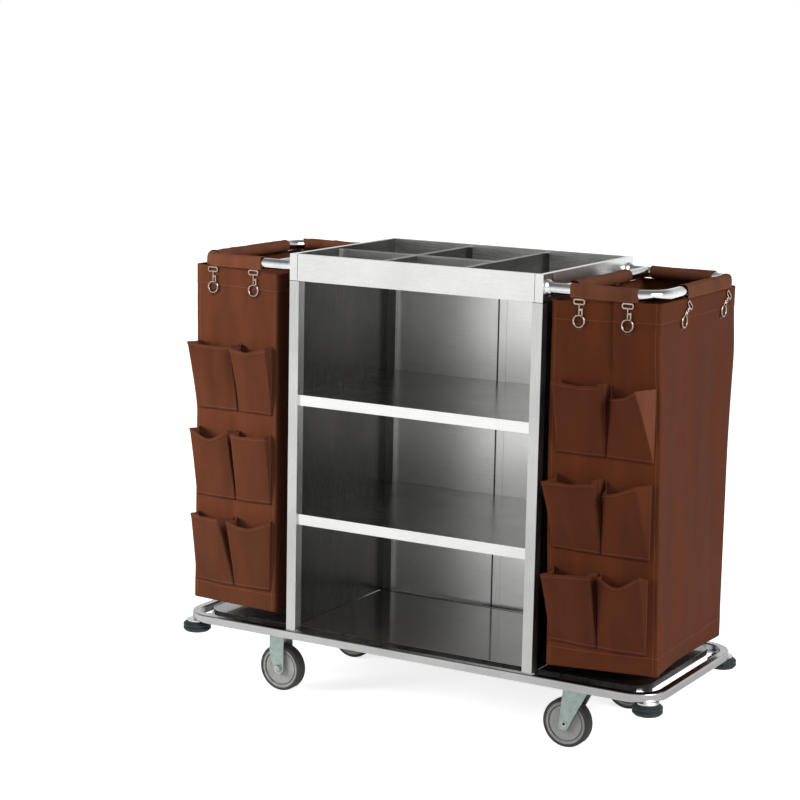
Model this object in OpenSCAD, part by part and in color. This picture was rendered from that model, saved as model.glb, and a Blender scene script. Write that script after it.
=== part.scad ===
// Housekeeping cart: a shelved steel cabinet between two hanging bags, on a tube base with casters.
// X runs along the cart, the open front faces -Y, and Z = 0 is the floor.

/* [Base] */
// Outer length of the base tube loop
base_l = 1264; // [1180:1:1400]
// Outer depth of the base tube loop
base_d = 488; // [460:1:540]
// Side of the square base tube
base_tube = 20; // [18:0.5:24]
// Wall of the base tube
base_wall = 1.5; // [1:0.1:2]
// Radius on the long edges of the base tube
base_edge_r = 3; // [2:0.1:4]
// Outer radius of the base corners
base_corner_r = 75; // [60:1:100]
// Width of the cross rails
rail_w = 100; // [90:1:120]
// Sheet of the cross rails
rail_t = 2; // [1.5:0.1:3]

/* [Deck] */
// Gap between the deck and the base tube at the ends
deck_gap_end = 25; // [15:1:40]
// Gap between the deck and the base tube at the front and back
deck_gap_side = 19; // [19:1:30]
// Thickness of the deck board
deck_t = 12; // [9:0.5:15]
// Height of the deck surface above the base tube
deck_proud = 3; // [2:0.5:8]
// Corner radius of the deck
deck_corner_r = 55; // [40:1:80]
// Thickness of the metal edge band
trim_t = 2; // [1.5:0.1:3]
// Height of the edge band above the deck surface
trim_proud = 1; // [0.5:0.1:3]
// Width of the corner straps under the deck
strap_w = 16; // [14:1:28]
// Thickness of the corner straps
strap_t = 3; // [2:0.5:4]

/* [Cabinet] */
// Width over the posts
cab_w = 656; // [600:1:700]
// Set-back of the posts behind the outer faces of the base tube
post_set = 6.5; // [2:0.5:8]
// Side of the square posts
post = 25; // [22:0.5:30]
// Wall of the posts
post_wall = 1.5; // [1:0.1:2.5]
// Sheet thickness of the panels and shelves
sheet = 1.5; // [1:0.1:2]
// Recess of the side panels behind the outer faces of the posts
side_recess = 1; // [0.5:0.1:4]
// Distance of the back panels from the outer faces of the rear posts
back_recess = 11; // [9:0.5:12]
// Place of the back seam along X
seam_x = -8; // [-60:1:60]
// Width of the strip over the back seam
seam_w = 24; // [16:1:40]
// Height of the upper shelf surface
shelf_upper_z = 746; // [640:1:820]
// Height of the lower shelf surface
shelf_lower_z = 460; // [380:1:560]
// Height of the folded front lip of the shelves
shelf_lip = 25; // [18:1:35]
// Height of the other folded edges of the shelves
shelf_fold = 18; // [12:1:25]
// Set-back of the shelf lips behind the fronts of the posts
lip_recess = 6; // [2:1:12]

/* [Tray] */
// Height of the tray rim above the floor
tray_top = 1077; // [1000:1:1150]
// Height of the tray walls
tray_h = 62; // [54:1:80]
// Width of the folded tray walls
tray_wall = 13; // [10:0.5:18]
// Length of the corner caps along the front
cap_front = 20; // [16:1:40]
// Length of the corner caps along the sides
cap_side = 48; // [40:1:80]
// Open seam beside the corner caps
cap_seam = 1.2; // [0.3:0.1:1.6]
// Sheet thickness of the dividers
divider_t = 1.5; // [1:0.1:2]
// Drop of the dividers below the tray rim
divider_drop = 4; // [1:0.5:15]
// Distance of the cross dividers from the middle
divider_x = 105; // [80:1:140]
// Place of the lengthwise divider along Y
divider_y = -33; // [-80:1:80]
// Width of the bent end tabs of the dividers
divider_tab = 10; // [6:1:16]

/* [Bag frames] */
// Diameter of the round frame tube
bar_d = 25; // [22:0.5:28]
// Wall of the frame tube
bar_wall = 1.5; // [1:0.1:2.5]
// Reach of the frames from the cabinet to the middle of the outer run
bar_reach = 262; // [230:1:280]
// Set-back of the front and back runs behind the faces of the cabinet
bar_set = 24.5; // [22:0.5:30]
// Radius of the tube bends
bar_bend_r = 60; // [50:1:75]
// Distance of the cross tube from the cabinet
bar_cross = 45; // [40:1:60]
// Diameter of the end flanges
collar_d = 38; // [34:1:44]
// Thickness of the end flanges
collar_t = 3; // [2:0.5:4]
// Length of the end collars
collar_l = 12; // [8:1:20]

/* [Bags] */
// Height of the bag bottoms above the floor
bag_bottom = 205; // [190:1:240]
// Thickness of the bag cloth with its lining
bag_wall = 2.5; // [2:0.1:3.5]
// Gap between the bag rim and the sleeve hems above it
bag_drop = 1; // [0.5:0.1:4]
// Thickness of the folded sleeve cloth
sleeve_t = 2.2; // [1.6:0.1:3]
// Length of the sleeve hem below the middle of the tube
sleeve_hem = 16; // [15.5:0.5:24]
// Bare tube between the cross tube and the front and back sleeves
sleeve_space = 3; // [2:0.5:10]
// Length of the right-hand sleeve on the outer run in front of the middle
sleeve_side_front = 85; // [60:1:110]
// Length of the left-hand sleeve on the outer run behind the middle
sleeve_side_rear = 145; // [120:1:150]
// Turn of the outer sleeves into the bend at their covered end
sleeve_side_turn = 18; // [10:1:28]
// Length of the cross tube's sleeve towards the bare end of the outer run
sleeve_cross_long = 175; // [150:1:178]
// Length of the cross tube's sleeve the other way
sleeve_cross_short = 103; // [90:1:140]
// Turn of the right-hand front and rear sleeves into the bends
sleeve_turn = 13; // [8:1:20]
// Distance that the left front sleeve has slid out along its tube
sleeve_slide = 28; // [10:1:40]
// Turn of that sleeve into its bend
sleeve_slid_turn = 58; // [50:1:60]
// Turn of the left rear sleeve into its bend
sleeve_rear_turn = 40; // [30:1:45]

/* [Pockets] */
// Height of the seam under the lowest pockets
pocket_z = 256; // [240:1:280]
// Step between the pocket rows
pocket_pitch = 213; // [200:1:225]
// Height of a pocket
pocket_h = 172; // [150:1:190]
// Gape of a pocket at its mouth
pocket_gape = 38; // [25:1:50]
// Cloth thickness of the pockets
pocket_t = 2.5; // [2:0.1:3]
// Space between neighbouring pockets
pocket_space = 4; // [2:0.5:8]

/* [Snap hooks] */
// Step between the two hooks on one face
hook_pitch = 115; // [90:1:118]
// Shift of the front and back hooks along X
hook_shift = -13; // [-14:1:0]
// Step between the hooks on the outer faces
hook_side_pitch = 226; // [200:1:240]
// Place of the hook pair on the right-hand outer face along Y
hook_side_y = 52; // [30:1:54]
// Place of the hook pair on the left-hand outer face along Y
hook_left_y = -30; // [-34:1:0]
// Step between the hooks on the faces beside the cabinet
hook_cross_pitch = 190; // [160:1:200]
// Place of the hook pair beside the cabinet along Y
hook_cross_y = -36; // [-50:1:-30]
// Lean of the hooks on the outer faces
hook_lean = 38; // [0:1:40]
// Width of the hook's ring
ring_w = 28; // [24:1:32]
// Height of the hook's ring
ring_h = 13; // [11:0.5:16]
// Bar of the hook's ring
ring_bar = 3; // [2.5:0.1:3.4]
// Corner radius of the hook's ring
ring_r = 5; // [4:0.1:5.4]
// Height of the hook body between the ring and the loop
hook_body_h = 25; // [22:0.5:30]
// Middle radius of the hook loop
loop_r = 13; // [12:0.5:15]
// Rod radius of the hook loop
loop_rod = 2; // [1.8:0.1:2.2]
// Diameter of the hook's shank
shank_d = 3.4; // [2.8:0.1:3.5]
// Angle at which the loop leaves the hook's shank
loop_start = 75; // [70:1:80]
// Angle of the loop's open tip
loop_tip = 50; // [48:1:53]
// Diameter of the sliding bolt
snap_d = 4; // [3.4:0.1:4.4]
// Wall of the guide round the sliding bolt
guide_wall = 1; // [0.8:0.1:1.4]
// Height of the guide
guide_h = 4; // [3:0.5:6]
// Space between the hook's shank and the sliding bolt
snap_space = 3; // [2.6:0.1:3.4]
// Diameter of the bolt's thumb knob
knob_d = 3; // [2.4:0.1:3.4]
// Reach of the bolt's thumb knob
knob_l = 6; // [4:0.5:8]
// Outer radius of the eyelets in the bag
eyelet_r = 8.5; // [7:0.5:10]
// Hole radius of the eyelets in the bag
eyelet_hole_r = 5; // [4:0.5:6]
// Travel of the sliding bolt
snap_travel = 7; // [5:0.5:8]

/* [Casters] */
// Diameter of the wheels
wheel_d = 114; // [108:1:122]
// Width of the tyres
tyre_w = 32; // [28:1:34]
// Thickness of the tyres
tyre_t = 7.5; // [7:0.5:10]
// Shoulder radius of the tyres
tyre_r = 6.5; // [4:0.5:6.5]
// Width of the wheel core at its rim
core_w = 28; // [24:1:32]
// Width of the core's rim band
rim_band = 6; // [5:0.5:8]
// Width of the ring groove in the core
groove_w = 3.5; // [3:0.5:6]
// Depth of the ring groove in the core
groove_depth = 3; // [2:0.5:4]
// Recess of the core's disc behind its rim
disc_recess = 2; // [1.5:0.5:3]
// Radius of the hub
hub_r = 11; // [9:0.5:14]
// Diameter of the axles
axle_d = 10; // [9:0.5:12]
// Bore of the swivel casters' tubular axles
axle_bore = 7; // [5:0.5:7]
// Diameter of the swivel axles' riveted heads
rivet_d = 15; // [13:0.5:18]
// Height of the swivel axles' riveted heads
rivet_h = 1.2; // [0.8:0.1:2]
// Sheet of the caster forks
fork_t = 3; // [2.5:0.1:4]
// Space between the fork legs
fork_gap = 36; // [35:0.5:42]
// Reach of the fork ends below the axles
fork_end_r = 14; // [13:0.5:18]
// Reach of the fixed forks behind the axles
fork_back = 26; // [20:1:32]
// Height over the axles where the fixed forks reach their full width
fork_waist = 36; // [28:1:44]
// Cut corner at the back of the swivel forks' square ends
fork_chip = 3; // [2:0.5:5]
// Height of the swivel forks' front edges
fork_front_h = 6; // [4:0.5:10]
// Place of the fixed casters along X, left of the middle
fixed_x = 381; // [350:1:420]
// Place of the swivel casters' kingpins along X, right of the middle
swivel_x = 415; // [380:1:440]
// Trail of the swivel casters
trail = 26; // [20:1:32]
// Distance of the casters from the middle along Y
caster_y = 168; // [150:1:178]
// Length of the caster plates
plate_l = 96; // [92:1:110]
// Width of the caster plates
plate_w = 82; // [78:1:88]
// Thickness of the caster plates
plate_t = 3; // [2.5:0.1:4]
// Clear height between the wheels and the kingpin heads
wheel_clear = 23.4; // [12:0.1:28]
// Diameter of the swivel heads
head_d = 60; // [54:1:66]
// Height of the ball race under the swivel plates
crown_h = 6; // [4:0.5:9]
// Set-back of the ball race inside the swivel heads
crown_set = 3; // [1:0.5:5]
// Height of the kingpin heads
kingpin_head_h = 4; // [3:0.5:6]
// Diameter of the kingpins
kingpin_d = 12; // [10:0.5:14]
// Diameter of the plate bolts
bolt_d = 8; // [6:0.5:8]
// Width over the corners of the plate bolts' heads and nuts
bolt_head_d = 12.8; // [11:0.1:14]
// Height of the plate bolts' heads and nuts
bolt_head_h = 5; // [4:0.5:6]
// Distance of the plate bolts from the ends of the plates
bolt_end = 12; // [10:0.5:15]
// Distance of the plate bolts from the sides of the plates
bolt_side = 11; // [9:0.5:12]
// Width over the corners of the axle nuts
nut_d = 17; // [15:0.5:20]
// Height of the axle nuts
nut_h = 7; // [5:0.5:9]

/* [Bumpers] */
// Diameter of the bumper rollers
bumper_d = 68; // [60:1:76]
// Height of the bumper rollers
bumper_h = 25; // [18:1:28]
// Taper of the bumper rollers at the bottom
bumper_edge = 5; // [3:0.5:6]
// Set-in of the bumper rollers' cone at the top
bumper_cone = 8; // [6:0.5:9]
// Height of the bumper rollers' cone
bumper_cone_h = 7; // [5:0.5:8]
// Depth of the groove round the bumper rollers
bumper_groove = 2; // [1:0.5:4]
// Width of the groove round the bumper rollers
bumper_groove_w = 4; // [3:0.5:5]
// Diameter of the bumper pins
pin_d = 10; // [8:0.5:12]
// Diameter of the pin flange over the roller
pin_flange_d = 50; // [40:1:56]
// Thickness of the pin flange
pin_flange_t = 3; // [2:0.5:5]
// Height of the pin head under the roller
pin_head_h = 5; // [4:0.5:7]

/* [Hidden] */
$fn = 48;
seat = 0.1;
run_fit = 0.05;
air = 0.3;
e = 1;

wheel_r = wheel_d / 2;
hub_w = fork_gap - 2 * air;
core_r = wheel_r - tyre_t;
disc_y = core_w / 2 - disc_recess;
groove_r = core_r - rim_band - groove_w;
leg_w = fork_gap + 2 * fork_t;
kingpin_z = wheel_d + wheel_clear;
swivel_top = kingpin_z + kingpin_head_h + air + fork_t;
crown_z = swivel_top + air;
plate_z = crown_z + crown_h;
bolt_x = plate_l / 2 - bolt_end;
bolt_y = plate_w / 2 - bolt_side;

base_z = plate_z + plate_t;
base_top = base_z + base_tube;
base_mid_l = base_l - base_tube;
base_mid_d = base_d - base_tube;
base_bend_r = base_corner_r - base_tube / 2;
base_in_l = base_l - 2 * base_tube;
base_in_d = base_d - 2 * base_tube;

deck_l = base_in_l - 2 * deck_gap_end;
deck_d = base_in_d - 2 * deck_gap_side;
board_l = deck_l - 2 * trim_t - 2 * seat;
board_d = deck_d - 2 * trim_t - 2 * seat;
deck_z = base_top + deck_proud;
deck_low = deck_z - deck_t;
rail_h = deck_low - base_z;

tray_z = tray_top - tray_h;
cab_d = base_d - 2 * post_set;
post_x = cab_w / 2 - post / 2;
post_y = cab_d / 2 - post / 2;
bay_x = cab_w / 2 - post;
bay_y = cab_d / 2 - post;
side_x = cab_w / 2 - side_recess - sheet;
back_y = cab_d / 2 - back_recess - sheet;
shelf_back_y = back_y - sheet;
lip_y = cab_d / 2 - lip_recess;

tray_in_x = cab_w / 2 - tray_wall;
tray_in_y = cab_d / 2 - tray_wall;
divider_z = tray_z + sheet;
divider_h = tray_top - divider_drop - divider_z;

bar_r = bar_d / 2;
bar_y = cab_d / 2 - bar_set;
bar_z = tray_top - tray_h / 2;
bar_out_x = cab_w / 2 + bar_reach;
bar_cross_x = cab_w / 2 + bar_cross;
bend_x = bar_out_x - bar_bend_r;
bend_y = bar_y - bar_bend_r;

sleeve_in_r = bar_r + seat;
sleeve_out_r = sleeve_in_r + sleeve_t;
hem_z = bar_z - sleeve_hem;
hem_mid = sleeve_out_r - sleeve_t / 2;
sleeve_start_x = bar_cross_x + bar_r + sleeve_space;

hook_off = hem_mid;
guide_half = snap_d / 2 + run_fit + guide_wall;
bag_off = hook_off - max(guide_half, loop_rod) - air;
bag_top = hem_z - bag_drop;
bag_in_x = bar_cross_x - bag_off;
bag_out_x = bar_out_x + bag_off;
bag_y = bar_y + bag_off;
bag_mid_x = (bar_cross_x + bar_out_x) / 2;
pocket_w = (bag_out_x - bag_in_x - pocket_space) / 2;

ring_top = -air;
body_top = ring_top - ring_h;
loop_z = body_top - hook_body_h - loop_r + loop_rod;
snap_x = loop_rod + snap_space + snap_d / 2;
snap_low = loop_z + (loop_r + loop_rod) * sin(loop_tip) + air;
guide_z = body_top - snap_travel - 1 - guide_h;
snap_l = body_top - air - snap_travel - snap_low;
lean_drop = ring_w / 2 * tan(hook_lean) + air;

bumper_x = base_l / 2 - base_corner_r + base_bend_r * cos(45);
bumper_y = base_d / 2 - base_corner_r + base_bend_r * sin(45);
bumper_top = base_z - pin_flange_t - air;
bumper_z = bumper_top - bumper_h;

front_reach = bag_y + pocket_gape;
rear_reach = bumper_y + bumper_d / 2;
box_y = (front_reach - rear_reach) / 2;

steel = "#c9cac8";
bright = "#dcdddb";
chrome = "#e4e6e8";
zinc = "#b4c0bc";
cloth = "#5c3323";
nickel = "#cdbcb0";

// Shared shapes

// A box given by its lowest and highest corners
module span(low, high) translate(low) cube(high - low);

// The same shape on both sides of the cart, mirrored in X
module side_of(s) mirror([s < 0 ? 1 : 0, 0, 0]) children();

// The same shape at the front (-1) or at the back (1)
module face_of(f) mirror([0, f < 0 ? 1 : 0, 0]) children();

// All four corners, mirrored from the right rear one
module four_corners() for (s = [-1, 1], f = [-1, 1]) side_of(s) face_of(f) children();

// The whole cart, moved so that the origin lies under the middle of its overall box
module cart() translate([0, box_y, 0]) children();

// A rectangle with rounded corners
module round_rect(l, d, r) {
    square([l, d - 2 * r], center = true);
    square([l - 2 * r, d], center = true);
    for (x = [-1, 1], y = [-1, 1]) translate([x * (l / 2 - r), y * (d / 2 - r)]) circle(r);
}

// Base frame and deck

module base_section() difference() {
    round_rect(base_tube, base_tube, base_edge_r);
    round_rect(base_tube - 2 * base_wall, base_tube - 2 * base_wall, max(0.4, base_edge_r - base_wall));
}

module base_frame() color(bright) translate([0, 0, base_z + base_tube / 2]) {
    four_corners() translate([base_mid_l / 2 - base_bend_r, base_mid_d / 2 - base_bend_r, 0])
        rotate_extrude(angle = 90) translate([base_bend_r, 0]) base_section();
    for (y = [-1, 1]) translate([0, y * base_mid_d / 2, 0]) rotate([90, 0, 90])
        linear_extrude(base_mid_l - 2 * base_bend_r, center = true) base_section();
    for (x = [-1, 1]) translate([x * base_mid_l / 2, 0, 0]) rotate([90, 0, 0])
        linear_extrude(base_mid_d - 2 * base_bend_r, center = true) base_section();
}

module plate_holes(h) for (x = [-1, 1], y = [-1, 1])
    translate([x * bolt_x, y * bolt_y, 0]) cylinder(d = bolt_d + 2 * seat, h = h);

// Channels open at the top, with the deck on their edges and the casters under their webs
module cross_rails() color(steel) for (x = [-fixed_x, 0, swivel_x]) translate([x, 0, base_z]) difference() {
    span([-rail_w / 2, -base_in_d / 2, 0], [rail_w / 2, base_in_d / 2, rail_h]);
    span([-rail_w / 2 + rail_t, -base_in_d / 2 - e, rail_t],
        [rail_w / 2 - rail_t, base_in_d / 2 + e, rail_h + e]);
    if (x != 0) for (y = [-1, 1]) translate([0, y * caster_y, -e]) plate_holes(rail_t + 2 * e);
}

module deck_board() color("#2a2725") translate([0, 0, deck_low])
    linear_extrude(deck_t) round_rect(board_l, board_d, deck_corner_r - trim_t - seat);

module deck_trim() color(bright) translate([0, 0, deck_low])
    linear_extrude(deck_t + trim_proud) difference() {
        round_rect(deck_l, deck_d, deck_corner_r);
        round_rect(deck_l - 2 * trim_t, deck_d - 2 * trim_t, deck_corner_r - trim_t);
    }

// Straps that tie the corners of the deck to the bends of the base tube
module deck_straps() color(bright) four_corners() intersection() {
    translate([deck_l / 2 - deck_corner_r, deck_d / 2 - deck_corner_r, deck_low - strap_t])
        rotate(45) translate([deck_corner_r - 2 * strap_w, -strap_w / 2, 0]) {
            cube([5 * strap_w, strap_w, strap_t]);
            translate([2 * strap_w + seat, 0, 0]) cube([strap_t, strap_w, strap_t + deck_t / 2]);
        }
    translate([base_l / 2 - base_corner_r, base_d / 2 - base_corner_r, base_z])
        cylinder(r = base_corner_r - base_tube - seat, h = 2 * base_tube);
}

// Cabinet

module post_tube(x, y) color(bright) translate([x * post_x, y * post_y, base_top]) difference() {
    span([-post / 2, -post / 2, 0], [post / 2, post / 2, tray_z - base_top]);
    span([-post / 2 + post_wall, -post / 2 + post_wall, -e],
        [post / 2 - post_wall, post / 2 - post_wall, tray_z]);
}

module side_panel(s) color(steel) side_of(s)
    span([side_x, -bay_y, deck_z + trim_proud], [side_x + sheet, bay_y, tray_z]);

module back_panel(x0, x1) color(steel) span([x0, back_y, base_top], [x1, back_y + sheet, tray_z]);

module back_seam_strip() color(bright)
    span([seam_x - seam_w / 2, shelf_back_y, base_top], [seam_x + seam_w / 2, back_y, tray_z]);

// A shelf pan notched round the posts, with its edges folded down and the front lip deepest
module shelf(top) color(bright) {
    span([-side_x, -bay_y, top - sheet], [side_x, bay_y, top]);
    span([-bay_x, -lip_y, top - sheet], [bay_x, shelf_back_y, top]);
    span([-bay_x, -lip_y, top - shelf_lip], [bay_x, -lip_y + sheet, top]);
    span([-bay_x, shelf_back_y - sheet, top - shelf_fold], [bay_x, shelf_back_y, top]);
    for (s = [-1, 1]) side_of(s) span([side_x - sheet, -bay_y, top - shelf_fold], [side_x, bay_y, top]);
}

// Tray

module tray_ring(out, in, low, high) difference() {
    span([-cab_w / 2 + out, -cab_d / 2 + out, low], [cab_w / 2 - out, cab_d / 2 - out, high]);
    span([-cab_w / 2 + in, -cab_d / 2 + in, low - e], [cab_w / 2 - in, cab_d / 2 - in, high + e]);
}

// The corner of the folded wall that a cap takes up
module cap_space(seam) {
    corner = [cab_w / 2 + e, cab_d / 2 + e, tray_top + e];
    span([cab_w / 2 - cap_front - seam, tray_in_y + sheet, tray_z - e], corner);
    span([tray_in_x + sheet, cab_d / 2 - cap_side - seam, tray_z - e], corner);
}

module tray_body() color(steel) difference() {
    union() {
        tray_ring(0, sheet, tray_z, tray_top);
        tray_ring(0, tray_wall, tray_top - sheet, tray_top);
        tray_ring(tray_wall - sheet, tray_wall, tray_z, tray_top);
        span([-tray_in_x - sheet, -tray_in_y - sheet, tray_z],
            [tray_in_x + sheet, tray_in_y + sheet, tray_z + sheet]);
    }
    four_corners() cap_space(cap_seam);
}

module tray_corner_caps() color(bright) four_corners() intersection() {
    cap_space(0);
    union() {
        tray_ring(0, sheet, tray_z, tray_top);
        tray_ring(0, tray_wall, tray_top - sheet, tray_top);
    }
}

module divider_sheet(x0, x1) span([x0, -divider_t / 2, 0], [x1, divider_t / 2, divider_h]);

module divider_tab(x, turn) span([min(x, x + turn * divider_t), -divider_tab, 0],
    [max(x, x + turn * divider_t), divider_t / 2, divider_h]);

// The sheet runs along X with a tab at each end and a slot over half its height
module divider(x0, x1, slot_x, slot_low) translate([0, 0, divider_z]) difference() {
    union() {
        divider_sheet(x0, x1);
        divider_tab(x0, 1);
        divider_tab(x1, -1);
    }
    translate([slot_x, 0, slot_low])
        span([-divider_t / 2 - seat, -e, -seat], [divider_t / 2 + seat, e, divider_h / 2 + seat]);
}

module cross_divider(x, slot_low) color(steel) translate([x, 0, 0]) rotate(90)
    divider(-tray_in_y + seat, tray_in_y - seat, divider_y, slot_low);

module divider_long() color(steel) translate([0, divider_y, 0])
    divider(-tray_in_x + seat, divider_x - divider_t / 2 - seat, -divider_x, 0);

// Bag frames

module bar_path(r) {
    for (f = [-1, 1]) face_of(f) {
        translate([cab_w / 2, bar_y, 0]) rotate([0, 90, 0]) cylinder(r = r, h = bend_x - cab_w / 2);
        translate([bend_x, bend_y, 0]) rotate_extrude(angle = 90) translate([bar_bend_r, 0]) circle(r);
    }
    translate([bar_out_x, bend_y, 0]) rotate([90, 0, 0]) cylinder(r = r, h = 2 * bend_y);
}

module bag_frame(s) color(chrome) side_of(s) translate([0, 0, bar_z]) difference() {
    union() {
        bar_path(bar_r);
        translate([bar_cross_x, bar_y, 0]) rotate([90, 0, 0]) cylinder(r = bar_r, h = 2 * bar_y);
    }
    bar_path(bar_r - bar_wall);
    translate([bar_cross_x, bar_y - bar_r, 0]) rotate([90, 0, 0])
        cylinder(r = bar_r - bar_wall, h = 2 * (bar_y - bar_r));
}

module frame_collars() color(chrome) four_corners() translate([cab_w / 2, bar_y, bar_z]) rotate([0, 90, 0])
    rotate_extrude() polygon([
        [bar_r + seat, 0], [collar_d / 2, 0], [collar_d / 2, collar_t],
        [bar_r + collar_t, 2 * collar_t], [bar_r + collar_t / 2, collar_l], [bar_r + seat, collar_l]
    ]);

// Sleeves: cloth folded over the tube, with the hem hanging on the outer side

module sleeve_section() difference() {
    union() {
        circle(sleeve_out_r);
        polygon([
            [sleeve_out_r, 0], [-sleeve_out_r, 0],
            [sleeve_out_r - 2 * sleeve_t, -sleeve_hem], [sleeve_out_r, -sleeve_hem]
        ]);
    }
    circle(sleeve_in_r);
}

// Along +X, with the hem side towards +Y
module sleeve_run(x0, x1) translate([x0, 0, 0]) rotate([90, 0, 90])
    linear_extrude(x1 - x0) sleeve_section();

// Along the tube from x0 and a turn round the bend, at the back
module sleeve_round(x0, turn) {
    translate([0, bar_y, 0]) sleeve_run(x0, bend_x);
    translate([bend_x, bend_y, 0]) rotate(90) rotate_extrude(angle = -turn)
        translate([bar_bend_r, 0]) sleeve_section();
}

// On the outer run, from the bend at the back towards the front
module sleeve_outer(reach) {
    translate([bar_out_x, 0, 0]) rotate(-90) sleeve_run(-bend_y, reach);
    translate([bend_x, bend_y, 0]) rotate_extrude(angle = sleeve_side_turn)
        translate([bar_bend_r, 0]) sleeve_section();
}

// The two sides' sleeves lie the other way round, front to back, and those at the left have slid
module sleeves(s) color(cloth) side_of(s) translate([0, 0, bar_z]) {
    face_of(-1) sleeve_round(
        s > 0 ? sleeve_start_x : sleeve_start_x + sleeve_slide,
        s > 0 ? sleeve_turn : sleeve_slid_turn
    );
    face_of(1) sleeve_round(sleeve_start_x, s > 0 ? sleeve_turn : sleeve_rear_turn);
    face_of(s) sleeve_outer(s > 0 ? sleeve_side_front : sleeve_side_rear);
    face_of(s) translate([bar_cross_x, 0, 0]) rotate(90) sleeve_run(-sleeve_cross_long, sleeve_cross_short);
}

// Bags and pockets

module bag(s) color(cloth) side_of(s) difference() {
    span([bag_in_x, -bag_y, bag_bottom], [bag_out_x, bag_y, bag_top]);
    span([bag_in_x + bag_wall, -bag_y + bag_wall, bag_bottom + bag_wall],
        [bag_out_x - bag_wall, bag_y - bag_wall, bag_top + e]);
}

// A pocket sewn flat at its bottom, with side gussets, gaping towards -Y at its mouth
module pocket() {
    lean = pocket_t * sqrt(1 + pow(pocket_gape / pocket_h, 2));
    difference() {
        rotate([90, 0, 90]) linear_extrude(pocket_w) polygon([
            [0, 0], [-pocket_t, 0], [-pocket_gape, pocket_h], [0, pocket_h]
        ]);
        translate([pocket_t, 0, 0]) rotate([90, 0, 90]) linear_extrude(pocket_w - 2 * pocket_t) polygon([
            [e, pocket_t], [lean - pocket_t, pocket_t],
            [lean - pocket_gape, pocket_h + e], [e, pocket_h + e]
        ]);
    }
}

module pockets(s) color(cloth) side_of(s) for (row = [0:2], col = [0, 1])
    translate([bag_in_x + col * (pocket_w + pocket_space), -bag_y, pocket_z + row * pocket_pitch]) pocket();

// Snap hooks: a flat ring, a body with a round loop, and a bolt that slides up to open the loop

// A ring with rounded corners, which hangs from the sleeve's hem
module hook_ring() rotate([90, 0, 0]) linear_extrude(ring_bar, center = true) difference() {
    round_rect(ring_w, ring_h, ring_r);
    round_rect(ring_w - 2 * ring_bar, ring_h - 2 * ring_bar, ring_r - ring_bar);
}

module hook() {
    translate([0, 0, ring_top - ring_h / 2]) hook_ring();
    translate([0, 0, loop_z + loop_r]) cylinder(d = shank_d, h = body_top + ring_bar / 2 - loop_z - loop_r);
    translate([0, 0, loop_z]) rotate([90, 0, 0]) rotate(loop_start)
        rotate_extrude(angle = 360 + loop_tip - loop_start) translate([loop_r, 0]) circle(loop_rod);
    translate([0, 0, guide_z]) difference() {
        span([0, -guide_half, 0], [snap_x + guide_half, guide_half, guide_h]);
        translate([snap_x, 0, -e]) cylinder(d = snap_d + 2 * run_fit, h = guide_h + 2 * e);
    }
}

// The bolt closes the loop at its tip, and its thumb knob stands away from the bag
module snap_bolt() translate([snap_x, 0, snap_low]) {
    cylinder(d = snap_d, h = snap_l);
    translate([0, 0, knob_d / 2]) rotate([-90, 0, 0]) cylinder(d = knob_d, h = knob_l);
}

// Hook places on the front and back faces, and on the cross tube side
module upright_places() for (s = [-1, 1]) {
    for (f = [-1, 1], p = [-1, 1]) face_of(f)
        translate([s * bag_mid_x + hook_shift + p * hook_pitch / 2, bar_y + hook_off, hem_z]) children();
    for (p = [-1, 1])
        translate([s * (bar_cross_x - hook_off), s * hook_cross_y + p * hook_cross_pitch / 2, hem_z])
            rotate(s * 90) children();
}

// Hook places on the outer faces, leaning towards the front as they go down
module leaning_places() for (s = [-1, 1], p = [-1, 1]) {
    pair_y = s > 0 ? hook_side_y : hook_left_y;
    translate([s * (bar_out_x + hook_off), pair_y + p * hook_side_pitch / 2, hem_z])
        rotate([-hook_lean, 0, 0]) translate([0, 0, -lean_drop]) rotate(-s * 90) children();
}

module hooks_upright() color(nickel) upright_places() hook();
module hooks_leaning() color(nickel) leaning_places() hook();
module snap_bolts_upright() color(nickel) upright_places() snap_bolt();
module snap_bolts_leaning() color(nickel) leaning_places() snap_bolt();

// A washer on the bag's face, behind the foot of the hook's loop
module eyelet() translate([0, bag_off - hook_off, loop_z - loop_r]) rotate([-90, 0, 0]) difference() {
    cylinder(r = eyelet_r, h = hook_off - bag_off - loop_rod - air);
    translate([0, 0, -e]) cylinder(r = eyelet_hole_r, h = hook_off);
}

module bag_eyelets() color(nickel) {
    upright_places() eyelet();
    leaning_places() eyelet();
}

// Casters

// Half of the core's section: hub, disc, ring groove and rim, from the bore outwards
function core_half(y) = [
    [axle_d / 2 + run_fit, y * hub_w / 2], [hub_r, y * hub_w / 2], [hub_r + disc_recess, y * disc_y],
    [groove_r, y * disc_y], [groove_r + groove_depth / 2, y * (disc_y - groove_depth)],
    [core_r - rim_band, y * (disc_y - groove_depth)],
    [core_r - rim_band, y * core_w / 2], [core_r, y * core_w / 2]
];

module wheel_core(x) color("#96968f") translate([x, 0, wheel_r]) rotate([90, 0, 0]) rotate_extrude()
    polygon(concat(core_half(-1), [for (i = [len(core_half(1)) - 1:-1:0]) core_half(1)[i]]));

module wheel_tyre(x) color("#3c3c3a") translate([x, 0, wheel_r]) rotate([90, 0, 0]) rotate_extrude() {
    translate([core_r, -tyre_w / 2 + tyre_r]) square([tyre_t, tyre_w - 2 * tyre_r]);
    translate([core_r, -tyre_w / 2]) square([tyre_t - tyre_r, tyre_w]);
    for (y = [-1, 1]) intersection() {
        translate([wheel_r - tyre_r, y * (tyre_w / 2 - tyre_r)]) circle(tyre_r);
        translate([core_r, -tyre_w / 2]) square([tyre_t, tyre_w]);
    }
}

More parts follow.
